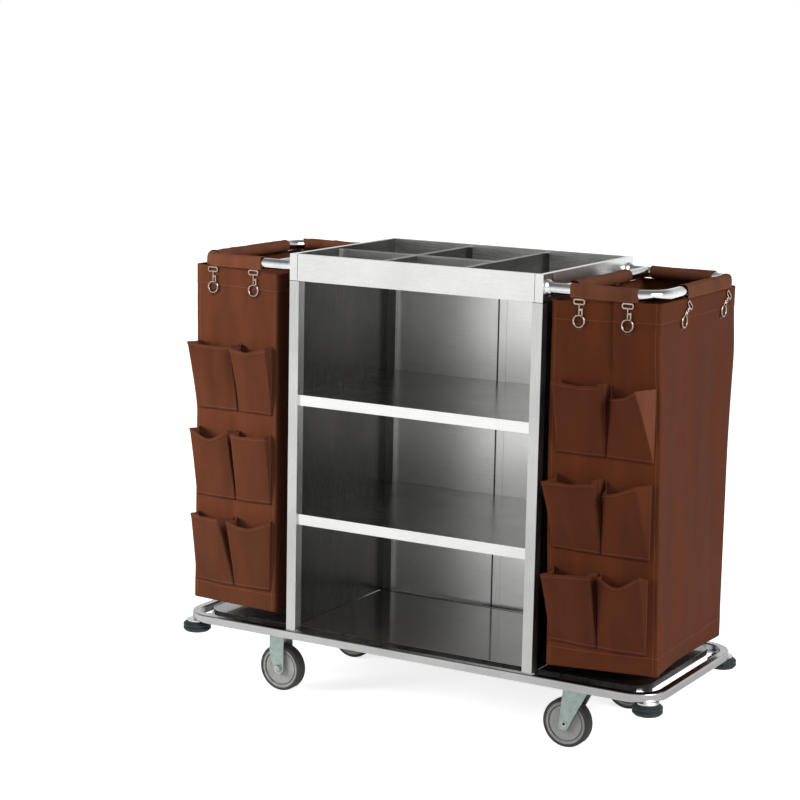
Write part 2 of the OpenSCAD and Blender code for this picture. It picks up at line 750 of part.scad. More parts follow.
module axle(x) color(zinc) translate([x, 0, wheel_r]) rotate([90, 0, 0]) {
    cylinder(d = axle_d, h = leg_w, center = true);
    for (m = [0, 1]) mirror([0, 0, m]) translate([0, 0, leg_w / 2]) cylinder(d = nut_d, h = nut_h, $fn = 6);
}

// A tube through the fork with its ends riveted over
module riveted_axle(x) color(zinc) translate([x, 0, wheel_r]) rotate([90, 0, 0]) difference() {
    union() {
        cylinder(d = axle_d, h = leg_w, center = true);
        for (m = [0, 1]) mirror([0, 0, m]) translate([0, 0, leg_w / 2]) cylinder(d = rivet_d, h = rivet_h);
    }
    cylinder(d = axle_bore, h = 2 * leg_w, center = true);
}

// Two legs cut from one outline, which stands on the axle's place
module fork_legs(x) difference() {
    for (y = [-1, 1]) translate([x, y * (fork_gap + fork_t) / 2 + fork_t / 2, wheel_r]) rotate([90, 0, 0])
        linear_extrude(fork_t) children();
    translate([x, 0, wheel_r]) rotate([90, 0, 0])
        cylinder(d = axle_d + 2 * seat, h = 2 * leg_w, center = true);
}

module fixed_fork() color(zinc) {
    leg_h = plate_z - wheel_r;
    fork_legs(0) {
        circle(fork_end_r);
        polygon([
            [-fork_back, leg_h], [-fork_back, fork_waist],
            [-fork_end_r, 0], [fork_end_r, 0], [fork_end_r, leg_h]
        ]);
    }
    span([-fork_back, -leg_w / 2, plate_z - fork_t], [fork_end_r, leg_w / 2, plate_z]);
    difference() {
        span([-plate_l / 2, -plate_w / 2, plate_z], [plate_l / 2, plate_w / 2, plate_z + plate_t]);
        translate([0, 0, plate_z - e]) plate_holes(plate_t + 2 * e);
    }
}

module swivel_plate() color(zinc) {
    difference() {
        span([-plate_l / 2, -plate_w / 2, plate_z], [plate_l / 2, plate_w / 2, plate_z + plate_t]);
        translate([0, 0, plate_z - e]) plate_holes(plate_t + 2 * e);
    }
    translate([0, 0, crown_z]) cylinder(d = head_d - 2 * crown_set, h = crown_h);
    translate([0, 0, kingpin_z]) cylinder(d = kingpin_d, h = crown_z - kingpin_z);
    translate([0, 0, kingpin_z]) cylinder(d = 2 * kingpin_d, h = kingpin_head_h);
}

module swivel_fork() color(zinc) {
    leg_h = swivel_top - wheel_r;
    difference() {
        union() {
            fork_legs(-trail) polygon([
                [trail - head_d / 2, leg_h],
                [-fork_end_r, fork_chip - fork_end_r], [fork_chip - fork_end_r, -fork_end_r],
                [fork_end_r / 2, -fork_end_r], [fork_end_r, 0],
                [trail + head_d / 2, leg_h - fork_front_h], [trail + head_d / 2, leg_h]
            ]);
            translate([0, 0, swivel_top - fork_t]) cylinder(d = head_d, h = fork_t);
            span([-head_d / 2, -leg_w / 2, swivel_top - fork_t], [head_d / 2, leg_w / 2, swivel_top]);
        }
        translate([0, 0, swivel_top - fork_t - e])
            cylinder(d = kingpin_d + 2 * run_fit, h = fork_t + 2 * e);
    }
}

module fixed_place(f) translate([-fixed_x, f * caster_y, 0]) children();
module swivel_place(f) translate([swivel_x, f * caster_y, 0]) children();

// Plate bolts with a head below and a nut above the rail
module plate_bolts() for (x = [-1, 1], y = [-1, 1]) translate([x * bolt_x, y * bolt_y, 0]) {
    translate([0, 0, plate_z - bolt_head_h]) cylinder(d = bolt_head_d, h = bolt_head_h, $fn = 6);
    translate([0, 0, plate_z]) cylinder(d = bolt_d, h = plate_t + rail_t);
    translate([0, 0, base_z + rail_t]) cylinder(d = bolt_head_d, h = bolt_head_h, $fn = 6);
}

module caster_bolts() color(zinc) for (f = [-1, 1]) {
    fixed_place(f) plate_bolts();
    swivel_place(f) plate_bolts();
}

// Bumpers

// A roller that tapers to its bottom, with a cone at the top and a groove round its side
module bumper(s, f) color("#1e2d30") translate([s * bumper_x, f * bumper_y, bumper_z]) difference() {
    rotate_extrude() polygon([
        [pin_d / 2 + run_fit, 0], [bumper_d / 2 - bumper_edge, 0],
        [bumper_d / 2, bumper_edge], [bumper_d / 2, bumper_h - bumper_cone_h],
        [bumper_d / 2 - bumper_cone, bumper_h], [pin_d / 2 + run_fit, bumper_h]
    ]);
    translate([0, 0, (bumper_edge + bumper_h - bumper_cone_h) / 2]) rotate_extrude() polygon([
        [bumper_d / 2 + e, -bumper_groove_w / 2 - e], [bumper_d / 2 - bumper_groove, 0],
        [bumper_d / 2 + e, bumper_groove_w / 2 + e]
    ]);
}

module bumper_pins() color(chrome) four_corners() translate([bumper_x, bumper_y, 0])
    rotate_extrude() polygon([
        [0, bumper_z - air - pin_head_h], [pin_d, bumper_z - air - pin_head_h],
        [pin_d, bumper_z - air], [pin_d / 2, bumper_z - air], [pin_d / 2, base_z - pin_flange_t],
        [pin_flange_d / 2, base_z - pin_flange_t], [pin_flange_d / 2, base_z], [0, base_z]
    ]);

cart() base_frame();
cart() cross_rails();
cart() deck_board();
cart() deck_trim();
cart() deck_straps();
cart() post_tube(-1, -1);  // post_front_left
cart() post_tube(1, -1);  // post_front_right
cart() post_tube(-1, 1);  // post_rear_left
cart() post_tube(1, 1);  // post_rear_right
cart() side_panel(-1);  // side_panel_left
cart() side_panel(1);  // side_panel_right
cart() back_panel(-bay_x, seam_x - seat);  // back_panel_left
cart() back_panel(seam_x + seat, bay_x);  // back_panel_right
cart() back_seam_strip();
cart() shelf(shelf_upper_z);  // shelf_upper
cart() shelf(shelf_lower_z);  // shelf_lower
cart() tray_body();
cart() tray_corner_caps();
cart() cross_divider(-divider_x, divider_h / 2);  // divider_cross_left
cart() cross_divider(divider_x, divider_h);  // divider_cross_right
cart() divider_long();
cart() bag_frame(-1);  // bag_frame_left
cart() bag_frame(1);  // bag_frame_right
cart() frame_collars();
cart() bag(-1);  // bag_left
cart() bag(1);  // bag_right
cart() pockets(-1);  // pockets_left
cart() pockets(1);  // pockets_right
cart() sleeves(-1);  // sleeves_left
cart() sleeves(1);  // sleeves_right
cart() bag_eyelets();
cart() hooks_upright();
cart() hooks_leaning();
cart() snap_bolts_upright();
cart() snap_bolts_leaning();
cart() fixed_place(-1) fixed_fork();  // caster_front_left_fork
cart() fixed_place(-1) wheel_core(0);  // caster_front_left_core
cart() fixed_place(-1) wheel_tyre(0);  // caster_front_left_tyre
cart() fixed_place(-1) axle(0);  // caster_front_left_axle
cart() fixed_place(1) fixed_fork();  // caster_rear_left_fork
cart() fixed_place(1) wheel_core(0);  // caster_rear_left_core
cart() fixed_place(1) wheel_tyre(0);  // caster_rear_left_tyre
cart() fixed_place(1) axle(0);  // caster_rear_left_axle
cart() swivel_place(-1) swivel_plate();  // caster_front_right_plate
cart() swivel_place(-1) swivel_fork();  // caster_front_right_fork
cart() swivel_place(-1) wheel_core(-trail);  // caster_front_right_core
cart() swivel_place(-1) wheel_tyre(-trail);  // caster_front_right_tyre
cart() swivel_place(-1) riveted_axle(-trail);  // caster_front_right_axle
cart() swivel_place(1) swivel_plate();  // caster_rear_right_plate
cart() swivel_place(1) swivel_fork();  // caster_rear_right_fork
cart() swivel_place(1) wheel_core(-trail);  // caster_rear_right_core
cart() swivel_place(1) wheel_tyre(-trail);  // caster_rear_right_tyre
cart() swivel_place(1) riveted_axle(-trail);  // caster_rear_right_axle
cart() caster_bolts();
cart() bumper(-1, -1);  // bumper_front_left
cart() bumper(1, -1);  // bumper_front_right
cart() bumper(-1, 1);  // bumper_rear_left
cart() bumper(1, 1);  // bumper_rear_right
cart() bumper_pins();
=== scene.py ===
# A stainless housekeeping cart: an open shelved cabinet with a divided tray on top, on a wheeled base, and a
# hanging cloth bag with pockets at each end. Lengths are in metres, +Z is up and the open front faces -Y.
import math

import bmesh
import bpy
from mathutils import Matrix, Vector, noise


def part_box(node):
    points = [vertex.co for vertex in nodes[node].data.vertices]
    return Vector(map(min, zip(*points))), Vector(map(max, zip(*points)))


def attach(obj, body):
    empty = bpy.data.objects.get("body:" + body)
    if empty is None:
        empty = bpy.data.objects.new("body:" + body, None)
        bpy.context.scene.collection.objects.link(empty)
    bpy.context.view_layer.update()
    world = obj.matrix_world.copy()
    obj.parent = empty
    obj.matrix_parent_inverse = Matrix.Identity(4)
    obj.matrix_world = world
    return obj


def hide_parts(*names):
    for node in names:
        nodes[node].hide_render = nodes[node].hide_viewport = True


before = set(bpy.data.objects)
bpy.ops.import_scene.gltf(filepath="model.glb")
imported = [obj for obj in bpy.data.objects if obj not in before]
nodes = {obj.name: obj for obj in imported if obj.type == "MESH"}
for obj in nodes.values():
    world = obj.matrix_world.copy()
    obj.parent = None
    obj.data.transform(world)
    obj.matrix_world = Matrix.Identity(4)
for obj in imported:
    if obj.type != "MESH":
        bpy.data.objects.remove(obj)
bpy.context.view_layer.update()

# Camera: a long lens about five metres off the right front corner, above the height of the tray, looking
# a little down and tipped about one degree.
camera_place = (2.4490, -4.5238, 1.6332)
camera_lens = 99.4
camera_reach = 200
camera_yaw = math.radians(29.968)
camera_pitch = math.radians(9.956)
camera_roll = math.radians(1.104)
ahead = Vector((
    -math.sin(camera_yaw) * math.cos(camera_pitch),
    math.cos(camera_yaw) * math.cos(camera_pitch),
    -math.sin(camera_pitch),
))
level = Vector((math.cos(camera_yaw), math.sin(camera_yaw), 0))
above = level.cross(ahead)
camera_right = level * math.cos(camera_roll) + above * math.sin(camera_roll)
camera_up = above * math.cos(camera_roll) - level * math.sin(camera_roll)
camera_turn = Matrix((camera_right, camera_up, -ahead)).transposed().to_4x4()
camera = bpy.data.objects.new("camera", bpy.data.cameras.new("camera"))
bpy.context.scene.collection.objects.link(camera)
camera.matrix_world = Matrix.Translation(camera_place) @ camera_turn
camera.data.sensor_width = 36
camera.data.lens = camera_lens
camera.data.clip_end = camera_reach
bpy.context.scene.camera = camera
bpy.context.scene.view_settings.view_transform = "Standard"


# Studio: a white floor that keeps a soft shadow, a white surround that darkens overhead so that the metal
# has something to mirror, a broad light from the right and a softer one at the left front.
def add_node(tree, kind, inputs=None, **settings):
    node = tree.nodes.new(kind)
    for key, value in settings.items():
        setattr(node, key, value)
    for key, value in (inputs or {}).items():
        node.inputs[key].default_value = value
    return node


def combine(tree, operation, *values):
    """One step of arithmetic: each value is a number or the socket that it comes from."""
    step = add_node(tree, "ShaderNodeMath", operation=operation)
    for index, value in enumerate(values):
        if isinstance(value, bpy.types.NodeSocket):
            tree.links.new(value, step.inputs[index])
        else:
            step.inputs[index].default_value = value
    return step.outputs[0]


def map_range(tree, value, start, end, low, high, **settings):
    """Takes a value that goes from start to end to one that goes from low to high."""
    span = {"From Min": start, "From Max": end, "To Min": low, "To Max": high}
    mapped = add_node(tree, "ShaderNodeMapRange", span, **settings)
    tree.links.new(value, mapped.inputs["Value"])
    return mapped.outputs["Result"]


def along_axis(tree, vector, axis):
    """The share of a vector along one axis."""
    axes = add_node(tree, "ShaderNodeSeparateXYZ")
    tree.links.new(vector, axes.inputs[0])
    return axes.outputs[axis]


def seen_directly(tree):
    """One for rays from the camera, for mirrored rays and for rays through glass, and zero for the rest."""
    path = add_node(tree, "ShaderNodeLightPath").outputs
    seen_or_mirrored = combine(tree, "MAXIMUM", path["Is Camera Ray"], path["Is Glossy Ray"])
    return combine(tree, "MAXIMUM", seen_or_mirrored, path["Is Transmission Ray"])


white = (1, 1, 1, 1)
ambient = 0.37
# Share of white right overhead, and the two heights on the sky between which it falls
overhead = 0.2
dim_from = 0.1
dim_to = 0.75
world = bpy.data.worlds.new("studio")
world.use_nodes = True
bpy.context.scene.world = world
sky = world.node_tree
surround = sky.nodes["Background"]
surround.inputs["Color"].default_value = white
sky_height = along_axis(sky, add_node(sky, "ShaderNodeTexCoord").outputs["Generated"], "Z")
sky_fall = map_range(sky, sky_height, dim_from, dim_to, 1.0, overhead)
sky_level = map_range(sky, seen_directly(sky), 0.0, 1.0, ambient, 1.0)
sky_shade = combine(sky, "MULTIPLY", sky_fall, sky_level)
sky_path = add_node(sky, "ShaderNodeLightPath")
sky_strength = combine(sky, "MAXIMUM", sky_shade, sky_path.outputs["Is Camera Ray"])
sky.links.new(sky_strength, surround.inputs["Strength"])

floor_radius = 90
floor_white = (0.9, 0.9, 0.9, 1)
# How much the floor is lifted to white: where the camera sees it, and in mirrored rays near the cart and far
# from it, with the two distances between which that changes. The small lift near the cart is a painted shadow
# round the cart, for the metal to mirror
lift_seen = 0.74
painted_shadow_lift = 0.10
lift_far = 0.57
near_end = 0.9
far_start = 2.8
floor_mesh = bpy.data.meshes.new("floor")
floor_shape = bmesh.new()
bmesh.ops.create_circle(floor_shape, cap_ends=True, segments=96, radius=floor_radius)
floor_shape.to_mesh(floor_mesh)
floor_shape.free()
floor = bpy.data.objects.new("floor", floor_mesh)
bpy.context.scene.collection.objects.link(floor)
floor_paint = bpy.data.materials.new("floor_paint")
floor_paint.use_nodes = True
floor_tree = floor_paint.node_tree
floor_tree.nodes.remove(floor_tree.nodes["Principled BSDF"])
floor_matt = add_node(floor_tree, "ShaderNodeBsdfDiffuse", {"Color": floor_white})
floor_lift = add_node(floor_tree, "ShaderNodeEmission", {"Color": white})
floor_place = add_node(floor_tree, "ShaderNodeTexCoord")
floor_distance = add_node(floor_tree, "ShaderNodeVectorMath", operation="LENGTH")
floor_tree.links.new(floor_place.outputs["Object"], floor_distance.inputs[0])
# Mirrored rays see the floor dimmer near the cart: a painted shadow
mirrored_lift = map_range(
    floor_tree, floor_distance.outputs["Value"], near_end, far_start, painted_shadow_lift, lift_far,
    interpolation_type="SMOOTHSTEP",
)
floor_path = add_node(floor_tree, "ShaderNodeLightPath")
floor_level = add_node(floor_tree, "ShaderNodeMix", {"B": lift_seen})
floor_tree.links.new(floor_path.outputs["Is Camera Ray"], floor_level.inputs["Factor"])
floor_tree.links.new(mirrored_lift, floor_level.inputs["A"])
floor_strength = combine(floor_tree, "MULTIPLY", seen_directly(floor_tree), floor_level.outputs["Result"])
floor_tree.links.new(floor_strength, floor_lift.inputs["Strength"])
floor_sum = add_node(floor_tree, "ShaderNodeAddShader")
floor_tree.links.new(floor_matt.outputs[0], floor_sum.inputs[0])
floor_tree.links.new(floor_lift.outputs[0], floor_sum.inputs[1])
floor_tree.links.new(floor_sum.outputs[0], floor_tree.nodes["Material Output"].inputs["Surface"])
floor_mesh.materials.append(floor_paint)

sun_width = math.radians(35)
box_size = 1.2
box_spread = math.radians(64)
for lamp_name, lamp_kind, place, aim, power in (
    ("right_light", "SUN", (3.4, -1.0, 2.6), (0, 0, 0.4), 2.9),
    ("left_front_box", "AREA", (-2.2, -1.7, 1.3), (-0.62, -0.22, 0.72), 15),
):
    lamp_data = bpy.data.lights.new(lamp_name, lamp_kind)
    lamp_data.energy = power
    if lamp_kind == "SUN":
        lamp_data.angle = sun_width
    else:
        lamp_data.size = box_size
        lamp_data.spread = box_spread
    lamp = bpy.data.objects.new(lamp_name, lamp_data)
    lamp.visible_glossy = lamp_kind == "SUN"
    lamp.location = place
    lamp.rotation_euler = (Vector(aim) - Vector(place)).to_track_quat("-Z", "Y").to_euler()
    bpy.context.scene.collection.objects.link(lamp)


# Base loop and cross rails: square stainless tube bent into one loop with rounded corners, polished bright,
# with three folded channels welded across it under the deck.
def srgb(red, green, blue):
    """A colour given in 0 to 255 screen values, as the shader takes it."""
    shares = [value / 255 for value in (red, green, blue)]
    return (*[s / 12.92 if s <= 0.04045 else ((s + 0.055) / 1.055) ** 2.4 for s in shares], 1)


def new_material(name):
    material = bpy.data.materials.new(name)
    material.use_nodes = True
    return material, material.node_tree, material.node_tree.nodes["Principled BSDF"]


def stretched_noise(tree, stretch, detail=3.0):
    """Noise on the piece's own coordinates: stretch gives the grains to the metre along each axis."""
    place = add_node(tree, "ShaderNodeTexCoord")
    scale = add_node(tree, "ShaderNodeMapping", {"Scale": stretch})
    tree.links.new(place.outputs["Object"], scale.inputs["Vector"])
    grain = add_node(tree, "ShaderNodeTexNoise", {"Scale": 1.0, "Detail": detail, "Roughness": 0.6})
    tree.links.new(scale.outputs[0], grain.inputs["Vector"])
    return grain.outputs["Fac"]


# Most of the noise lies between these two values
noise_low = 0.3
noise_high = 0.7


def spread_over(tree, value, low, high, socket):
    """Maps a noise value to the range from low to high and sends it to a socket."""
    tree.links.new(map_range(tree, value, noise_low, noise_high, low, high), socket)


def tint_over(tree, value, dark, light, socket):
    """Maps a noise value to a colour between dark and light, in screen values, and sends it to a socket."""
    ramp = add_node(tree, "ShaderNodeValToRGB")
    ramp.color_ramp.elements[0].position = noise_low
    ramp.color_ramp.elements[0].color = srgb(*dark)
    ramp.color_ramp.elements[1].position = noise_high
    ramp.color_ramp.elements[1].color = srgb(*light)
    tree.links.new(value, ramp.inputs["Fac"])
    tree.links.new(ramp.outputs["Color"], socket)


def raise_bump(tree, value, shader, distance):
    bump = add_node(tree, "ShaderNodeBump", {"Strength": 1.0, "Distance": distance})
    tree.links.new(value, bump.inputs["Height"])
    tree.links.new(bump.outputs["Normal"], shader.inputs["Normal"])


brush_depth = 0.00001
steel_clouds = (5, 5, 5)


def brushed_steel(name, grain, dark, light, rough):
    """Stainless with a brushed grain: grain gives the fine lines to the metre along each axis."""
    material, tree, shader = new_material(name)
    shader.inputs["Metallic"].default_value = 1.0
    lines = stretched_noise(tree, grain)
    spread_over(tree, lines, *rough, shader.inputs["Roughness"])
    raise_bump(tree, lines, shader, brush_depth)
    tint_over(tree, stretched_noise(tree, steel_clouds, 4.0), dark, light, shader.inputs["Base Color"])
    return material


def dress(material, *names):
    for name in names:
        nodes[name].data.materials.clear()
        nodes[name].data.materials.append(material)


tube_steel = brushed_steel("tube_steel", (14, 14, 2600), (178, 179, 179), (198, 198, 197), (0.12, 0.22))
rail_steel = brushed_steel("rail_steel", (1800, 14, 1800), (178, 180, 180), (205, 206, 205), (0.3, 0.45))
dress(tube_steel, "base_frame")
dress(rail_steel, "cross_rails")


# Casters: pressed zinc-plated forks, the left pair rigid and the right pair on swivel heads, held by four
# bolts each. The wheels have a grey moulded core with a grooved disc and a bonded rubber tread.
def speckled(name, dark, light, speck, rough, metal=0.0, bump=0.0, bump_scale=900):
    """A plain finish with cloudy colour, uneven gloss and, where bump is given, a fine surface."""
    material, tree, shader = new_material(name)
    shader.inputs["Metallic"].default_value = metal
    clouds = stretched_noise(tree, (speck,) * 3, 5.0)
    tint_over(tree, clouds, dark, light, shader.inputs["Base Color"])
    spread_over(tree, clouds, *rough, shader.inputs["Roughness"])
    if bump:
        raise_bump(tree, stretched_noise(tree, (bump_scale,) * 3), shader, bump)
    return material


zinc_plate = speckled(
    "zinc_plate", (142, 156, 152), (172, 186, 181), 60, (0.28, 0.46), metal=0.9, bump=0.00004,
)
bolt_zinc = speckled("bolt_zinc", (150, 152, 150), (205, 206, 203), 120, (0.22, 0.4), metal=1.0)
core_plastic = speckled("core_plastic", (126, 126, 124), (148, 148, 145), 40, (0.4, 0.55), bump=0.00005)
tread_rubber = speckled(
    "tread_rubber", (34, 34, 33), (54, 54, 52), 55, (0.55, 0.8), bump=0.0002, bump_scale=700,
)
for end in ("front", "rear"):
    dress(zinc_plate, f"caster_{end}_left_fork", f"caster_{end}_right_fork", f"caster_{end}_right_plate")
    for side in ("left", "right"):
        dress(core_plastic, f"caster_{end}_{side}_core")
        dress(tread_rubber, f"caster_{end}_{side}_tyre")
        dress(bolt_zinc, f"caster_{end}_{side}_axle")
dress(bolt_zinc, "caster_bolts")

# Corner bumpers: moulded dark rubber rollers with a groove round the middle, which turn on bright pins
# under the bends of the base loop.
bumper_rubber = speckled(
    "bumper_rubber", (12, 24, 26), (26, 40, 41), 45, (0.5, 0.7), bump=0.0001, bump_scale=600,
)
pin_chrome = speckled("pin_chrome", (205, 208, 210), (232, 233, 233), 50, (0.08, 0.18), metal=1.0)
for end in ("front", "rear"):
    for side in ("left", "right"):
        dress(bumper_rubber, f"bumper_{end}_{side}")
dress(pin_chrome, "bumper_pins")


# Deck: a dark laminated board with rounded corners in a thin edge band, dark on its sides and painted bright
# along its top edge as a highlight, tied to the bends of the base loop by four bright straps.
def facing(tree, axis):
    """One where a surface looks along an axis, and zero elsewhere."""
    normal = add_node(tree, "ShaderNodeNewGeometry").outputs["Normal"]
    return combine(tree, "GREATER_THAN", along_axis(tree, normal, axis), 0.5)


def tint_where(material, mask, dark, light, stretch):
    """Gives the part of a finish where mask is one a cloudy colour of its own."""
    tree = material.node_tree
    colour_socket = tree.nodes["Principled BSDF"].inputs["Base Color"]
    before = colour_socket.links[0].from_socket
    mix = add_node(tree, "ShaderNodeMix", data_type="RGBA")
    tree.links.new(mask, mix.inputs["Factor"])
    tree.links.new(before, mix.inputs["A"])
    tint_over(tree, stretched_noise(tree, stretch, 5.0), dark, light, mix.inputs["B"])
    tree.links.new(mix.outputs["Result"], colour_socket)


board_grain = (6, 90, 90)
board_gloss = (18, 18, 18)
board_pores = (700, 700, 700)
board_pore_depth = 0.00004
deck_laminate, deck_tree, deck_shader = new_material("deck_laminate")
deck_shader.inputs["Coat Weight"].default_value = 1.0
deck_shader.inputs["Coat Roughness"].default_value = 0.05
deck_grain = stretched_noise(deck_tree, board_grain, 6.0)
tint_over(deck_tree, deck_grain, (32, 29, 27), (56, 50, 45), deck_shader.inputs["Base Color"])
deck_gloss = stretched_noise(deck_tree, board_gloss, 5.0)
spread_over(deck_tree, deck_gloss, 0.12, 0.24, deck_shader.inputs["Roughness"])
raise_bump(deck_tree, stretched_noise(deck_tree, board_pores), deck_shader, board_pore_depth)
dress(deck_laminate, "deck_board")

painted_highlight_dim = (206, 207, 206)
painted_highlight_bright = (220, 220, 218)
band_finish = speckled("band_finish", (20, 19, 19), (40, 38, 37), 40, (0.22, 0.42))
band_tree = band_finish.node_tree
# The top faces of the band are painted as bright metal, a painted highlight; its sides keep the dark colour
band_top = facing(band_tree, "Z")
tint_where(band_finish, band_top, painted_highlight_dim, painted_highlight_bright, (40, 40, 40))
band_tree.links.new(band_top, band_tree.nodes["Principled BSDF"].inputs["Metallic"])
dress(band_finish, "deck_trim")
dress(tube_steel, "deck_straps")


# Cabinet: square stainless posts with folded sheet between them, the sides and back brushed, two folded
# shelf pans, and a flat strip over the joint of the two back sheets. Painted shade darkens the rear posts,
# the sides, the shelf tops and the left edge of the strip; the inner face of the back and the shelf lips
# are painted lighter, as lit.
def place_along(tree, axis):
    """The place of a point on its piece, along one axis."""
    return along_axis(tree, add_node(tree, "ShaderNodeTexCoord").outputs["Object"], axis)


def beyond(tree, axis, limit):
    """One where a place lies beyond a limit along an axis, and zero before it."""
    return combine(tree, "GREATER_THAN", place_along(tree, axis), limit)


upright_grain = (2400, 2400, 12)
level_grain = (10, 2400, 2400)
# The inner face of the back sheets, and the lit part of the seam strip, are painted lighter than the outer
# face, as lit from the open front
back_painted_lit_dark = (236, 236, 235)
back_painted_lit_light = (248, 248, 247)
# A dark joint line shows on the posts above this height, right under the tray
joint_z = 1.0138
# Width of the shade along the left edge of the seam strip
strip_shade = 0.0045
post_steel = brushed_steel("post_steel", upright_grain, (190, 191, 190), (208, 208, 206), (0.2, 0.34))
joint_line = beyond(post_steel.node_tree, "Z", joint_z)
tint_where(post_steel, joint_line, (36, 36, 36), (44, 44, 44), (90, 90, 90))
# The rear posts are a darker copy of the post steel: painted shade inside the cabinet
rear_post_painted_shade_steel = brushed_steel(
    "rear_post_painted_shade_steel", upright_grain, (132, 132, 130), (152, 152, 150), (0.24, 0.4),
)
# The side panels are painted dark, as the shade inside the cabinet
side_painted_shade_steel = brushed_steel("side_painted_shade_steel", (2400, 2400, 10), (72, 71, 69), (90, 89, 87), (0.2, 0.32))
back_steel = brushed_steel("back_steel", level_grain, back_painted_lit_dark, back_painted_lit_light, (0.26, 0.42))
back_outside = facing(back_steel.node_tree, "Y")
tint_where(back_steel, back_outside, (190, 191, 190), (206, 206, 204), (3, 3, 3))
# The strip is painted dark as shade along its left edge, and takes the back's painted light beyond it
strip_steel = brushed_steel("strip_steel", level_grain, (58, 58, 57), (74, 74, 73), (0.26, 0.42))
strip_shade_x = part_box("back_seam_strip")[0][0] + strip_shade
strip_lit = beyond(strip_steel.node_tree, "X", strip_shade_x)
tint_where(strip_steel, strip_lit, back_painted_lit_dark, back_painted_lit_light, steel_clouds)
# The shelf lips are painted light, and the tops are painted darker, as shade
shelf_steel = brushed_steel("shelf_steel", level_grain, (232, 232, 231), (244, 244, 242), (0.18, 0.3))
shelf_top_painted_shade = facing(shelf_steel.node_tree, "Z")
tint_where(shelf_steel, shelf_top_painted_shade, (138, 138, 137), (166, 166, 164), (8, 8, 8))
dress(post_steel, "post_front_left", "post_front_right")
dress(rear_post_painted_shade_steel, "post_rear_left", "post_rear_right")
dress(side_painted_shade_steel, "side_panel_left", "side_panel_right")
dress(back_steel, "back_panel_left", "back_panel_right")
dress(strip_steel, "back_seam_strip")
dress(shelf_steel, "shelf_upper", "shelf_lower")

# Each bead is between these shares of the given size
bead_least = (0.85, 0.85, 0.85)
bead_most = (1.15, 1.15, 1.08)


def lay_along(name, lines, step, size, seed, material):
    """Lays beads of the given half sizes at even steps along lines, each a little uneven, as one mesh."""
    tree = bpy.data.node_groups.new(name, "GeometryNodeTree")
    tree.interface.new_socket(name="Lines", in_out="INPUT", socket_type="NodeSocketGeometry")
    tree.interface.new_socket(name="Beads", in_out="OUTPUT", socket_type="NodeSocketGeometry")
    given = {}
    for label, kind, value in (
        ("Step", "NodeSocketFloat", step), ("Size", "NodeSocketVector", size),
        ("Seed", "NodeSocketInt", seed), ("Material", "NodeSocketMaterial", material),
    ):
        given[tree.interface.new_socket(name=label, in_out="INPUT", socket_type=kind).identifier] = value
    source = add_node(tree, "NodeGroupInput")
    result = add_node(tree, "NodeGroupOutput")
    curve = add_node(tree, "GeometryNodeMeshToCurve")
    even = add_node(tree, "GeometryNodeResampleCurve", mode="LENGTH")
    heading = add_node(tree, "GeometryNodeInputTangent")
    turned = add_node(tree, "FunctionNodeAlignRotationToVector", axis="Z")
    bead = add_node(tree, "GeometryNodeMeshUVSphere", {"Segments": 5, "Rings": 4, "Radius": 1.0})
    share = add_node(tree, "FunctionNodeRandomValue", data_type="FLOAT_VECTOR")
    share.inputs["Min"].default_value = bead_least
    share.inputs["Max"].default_value = bead_most
    scale = add_node(tree, "ShaderNodeVectorMath", operation="MULTIPLY")
    laid = add_node(tree, "GeometryNodeInstanceOnPoints")
    realized = add_node(tree, "GeometryNodeRealizeInstances")
    finished = add_node(tree, "GeometryNodeSetMaterial")
    for start, end in (
        (source.outputs["Lines"], curve.inputs["Mesh"]),
        (curve.outputs["Curve"], even.inputs["Curve"]),
        (source.outputs["Step"], even.inputs["Length"]),
        (even.outputs["Curve"], laid.inputs["Points"]),
        (heading.outputs["Tangent"], turned.inputs["Vector"]),
        (turned.outputs["Rotation"], laid.inputs["Rotation"]),
        (bead.outputs["Mesh"], laid.inputs["Instance"]),
        (source.outputs["Seed"], share.inputs["Seed"]),
        (share.outputs["Value"], scale.inputs[0]),
        (source.outputs["Size"], scale.inputs[1]),
        (scale.outputs["Vector"], laid.inputs["Scale"]),
        (laid.outputs["Instances"], realized.inputs["Geometry"]),
        (realized.outputs["Geometry"], finished.inputs["Geometry"]),
        (source.outputs["Material"], finished.inputs["Material"]),
        (finished.outputs["Geometry"], result.inputs["Beads"]),
    ):
        tree.links.new(start, end)
    points = []
    edges = []
    for line in lines:
        first = len(points)
        points += line
        edges += [(first + index, first + index + 1) for index in range(len(line) - 1)]
    mesh = bpy.data.meshes.new(name)
    mesh.from_pydata(points, edges, [])
    piece = bpy.data.objects.new(name, mesh)
    bpy.context.scene.collection.objects.link(piece)
    layer = piece.modifiers.new(name, "NODES")
    layer.node_group = tree
    for identifier, value in given.items():
        layer[identifier] = value
    plain = bpy.data.meshes.new_from_object(piece.evaluated_get(bpy.context.evaluated_depsgraph_get()))
    piece.modifiers.remove(layer)
    piece.data = plain
    plain.polygons.foreach_set("use_smooth", [True] * len(plain.polygons))
    return piece


def node_box(name):
    """A node's lowest and highest corners, to a thousandth of a millimetre."""
    return [[round(value, 6) for value in corner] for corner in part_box(name)]


base_low, base_high = node_box("base_frame")
post_low, post_high = node_box("post_front_right")
cart_y = (base_low[1] + base_high[1]) / 2
post_face_y = cart_y - post_low[1]
# The beads run round three sides of each post, to the inner edge of the tube
tube_inner_y = 0.2245
weld_lift = 0.0002
weld_z = base_high[2] + weld_lift
weld_step = 0.0018
weld_size = (0.0019, 0.0019, 0.0014)
weld_seed = 3
weld_corners = (
    (post_high[0], tube_inner_y), (post_high[0], post_face_y),
    (post_low[0], post_face_y), (post_low[0], tube_inner_y),
)
weld_lines = []
for side in (-1, 1):
    for face in (-1, 1):
        weld_lines.append([Vector((side * x, face * y + cart_y, weld_z)) for x, y in weld_corners])
weld_steel = speckled("weld_steel", (120, 118, 114), (190, 188, 184), 400, (0.25, 0.45), metal=1.0)
welds = lay_along("post_welds", weld_lines, weld_step, weld_size, weld_seed, weld_steel)
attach(welds, "root")

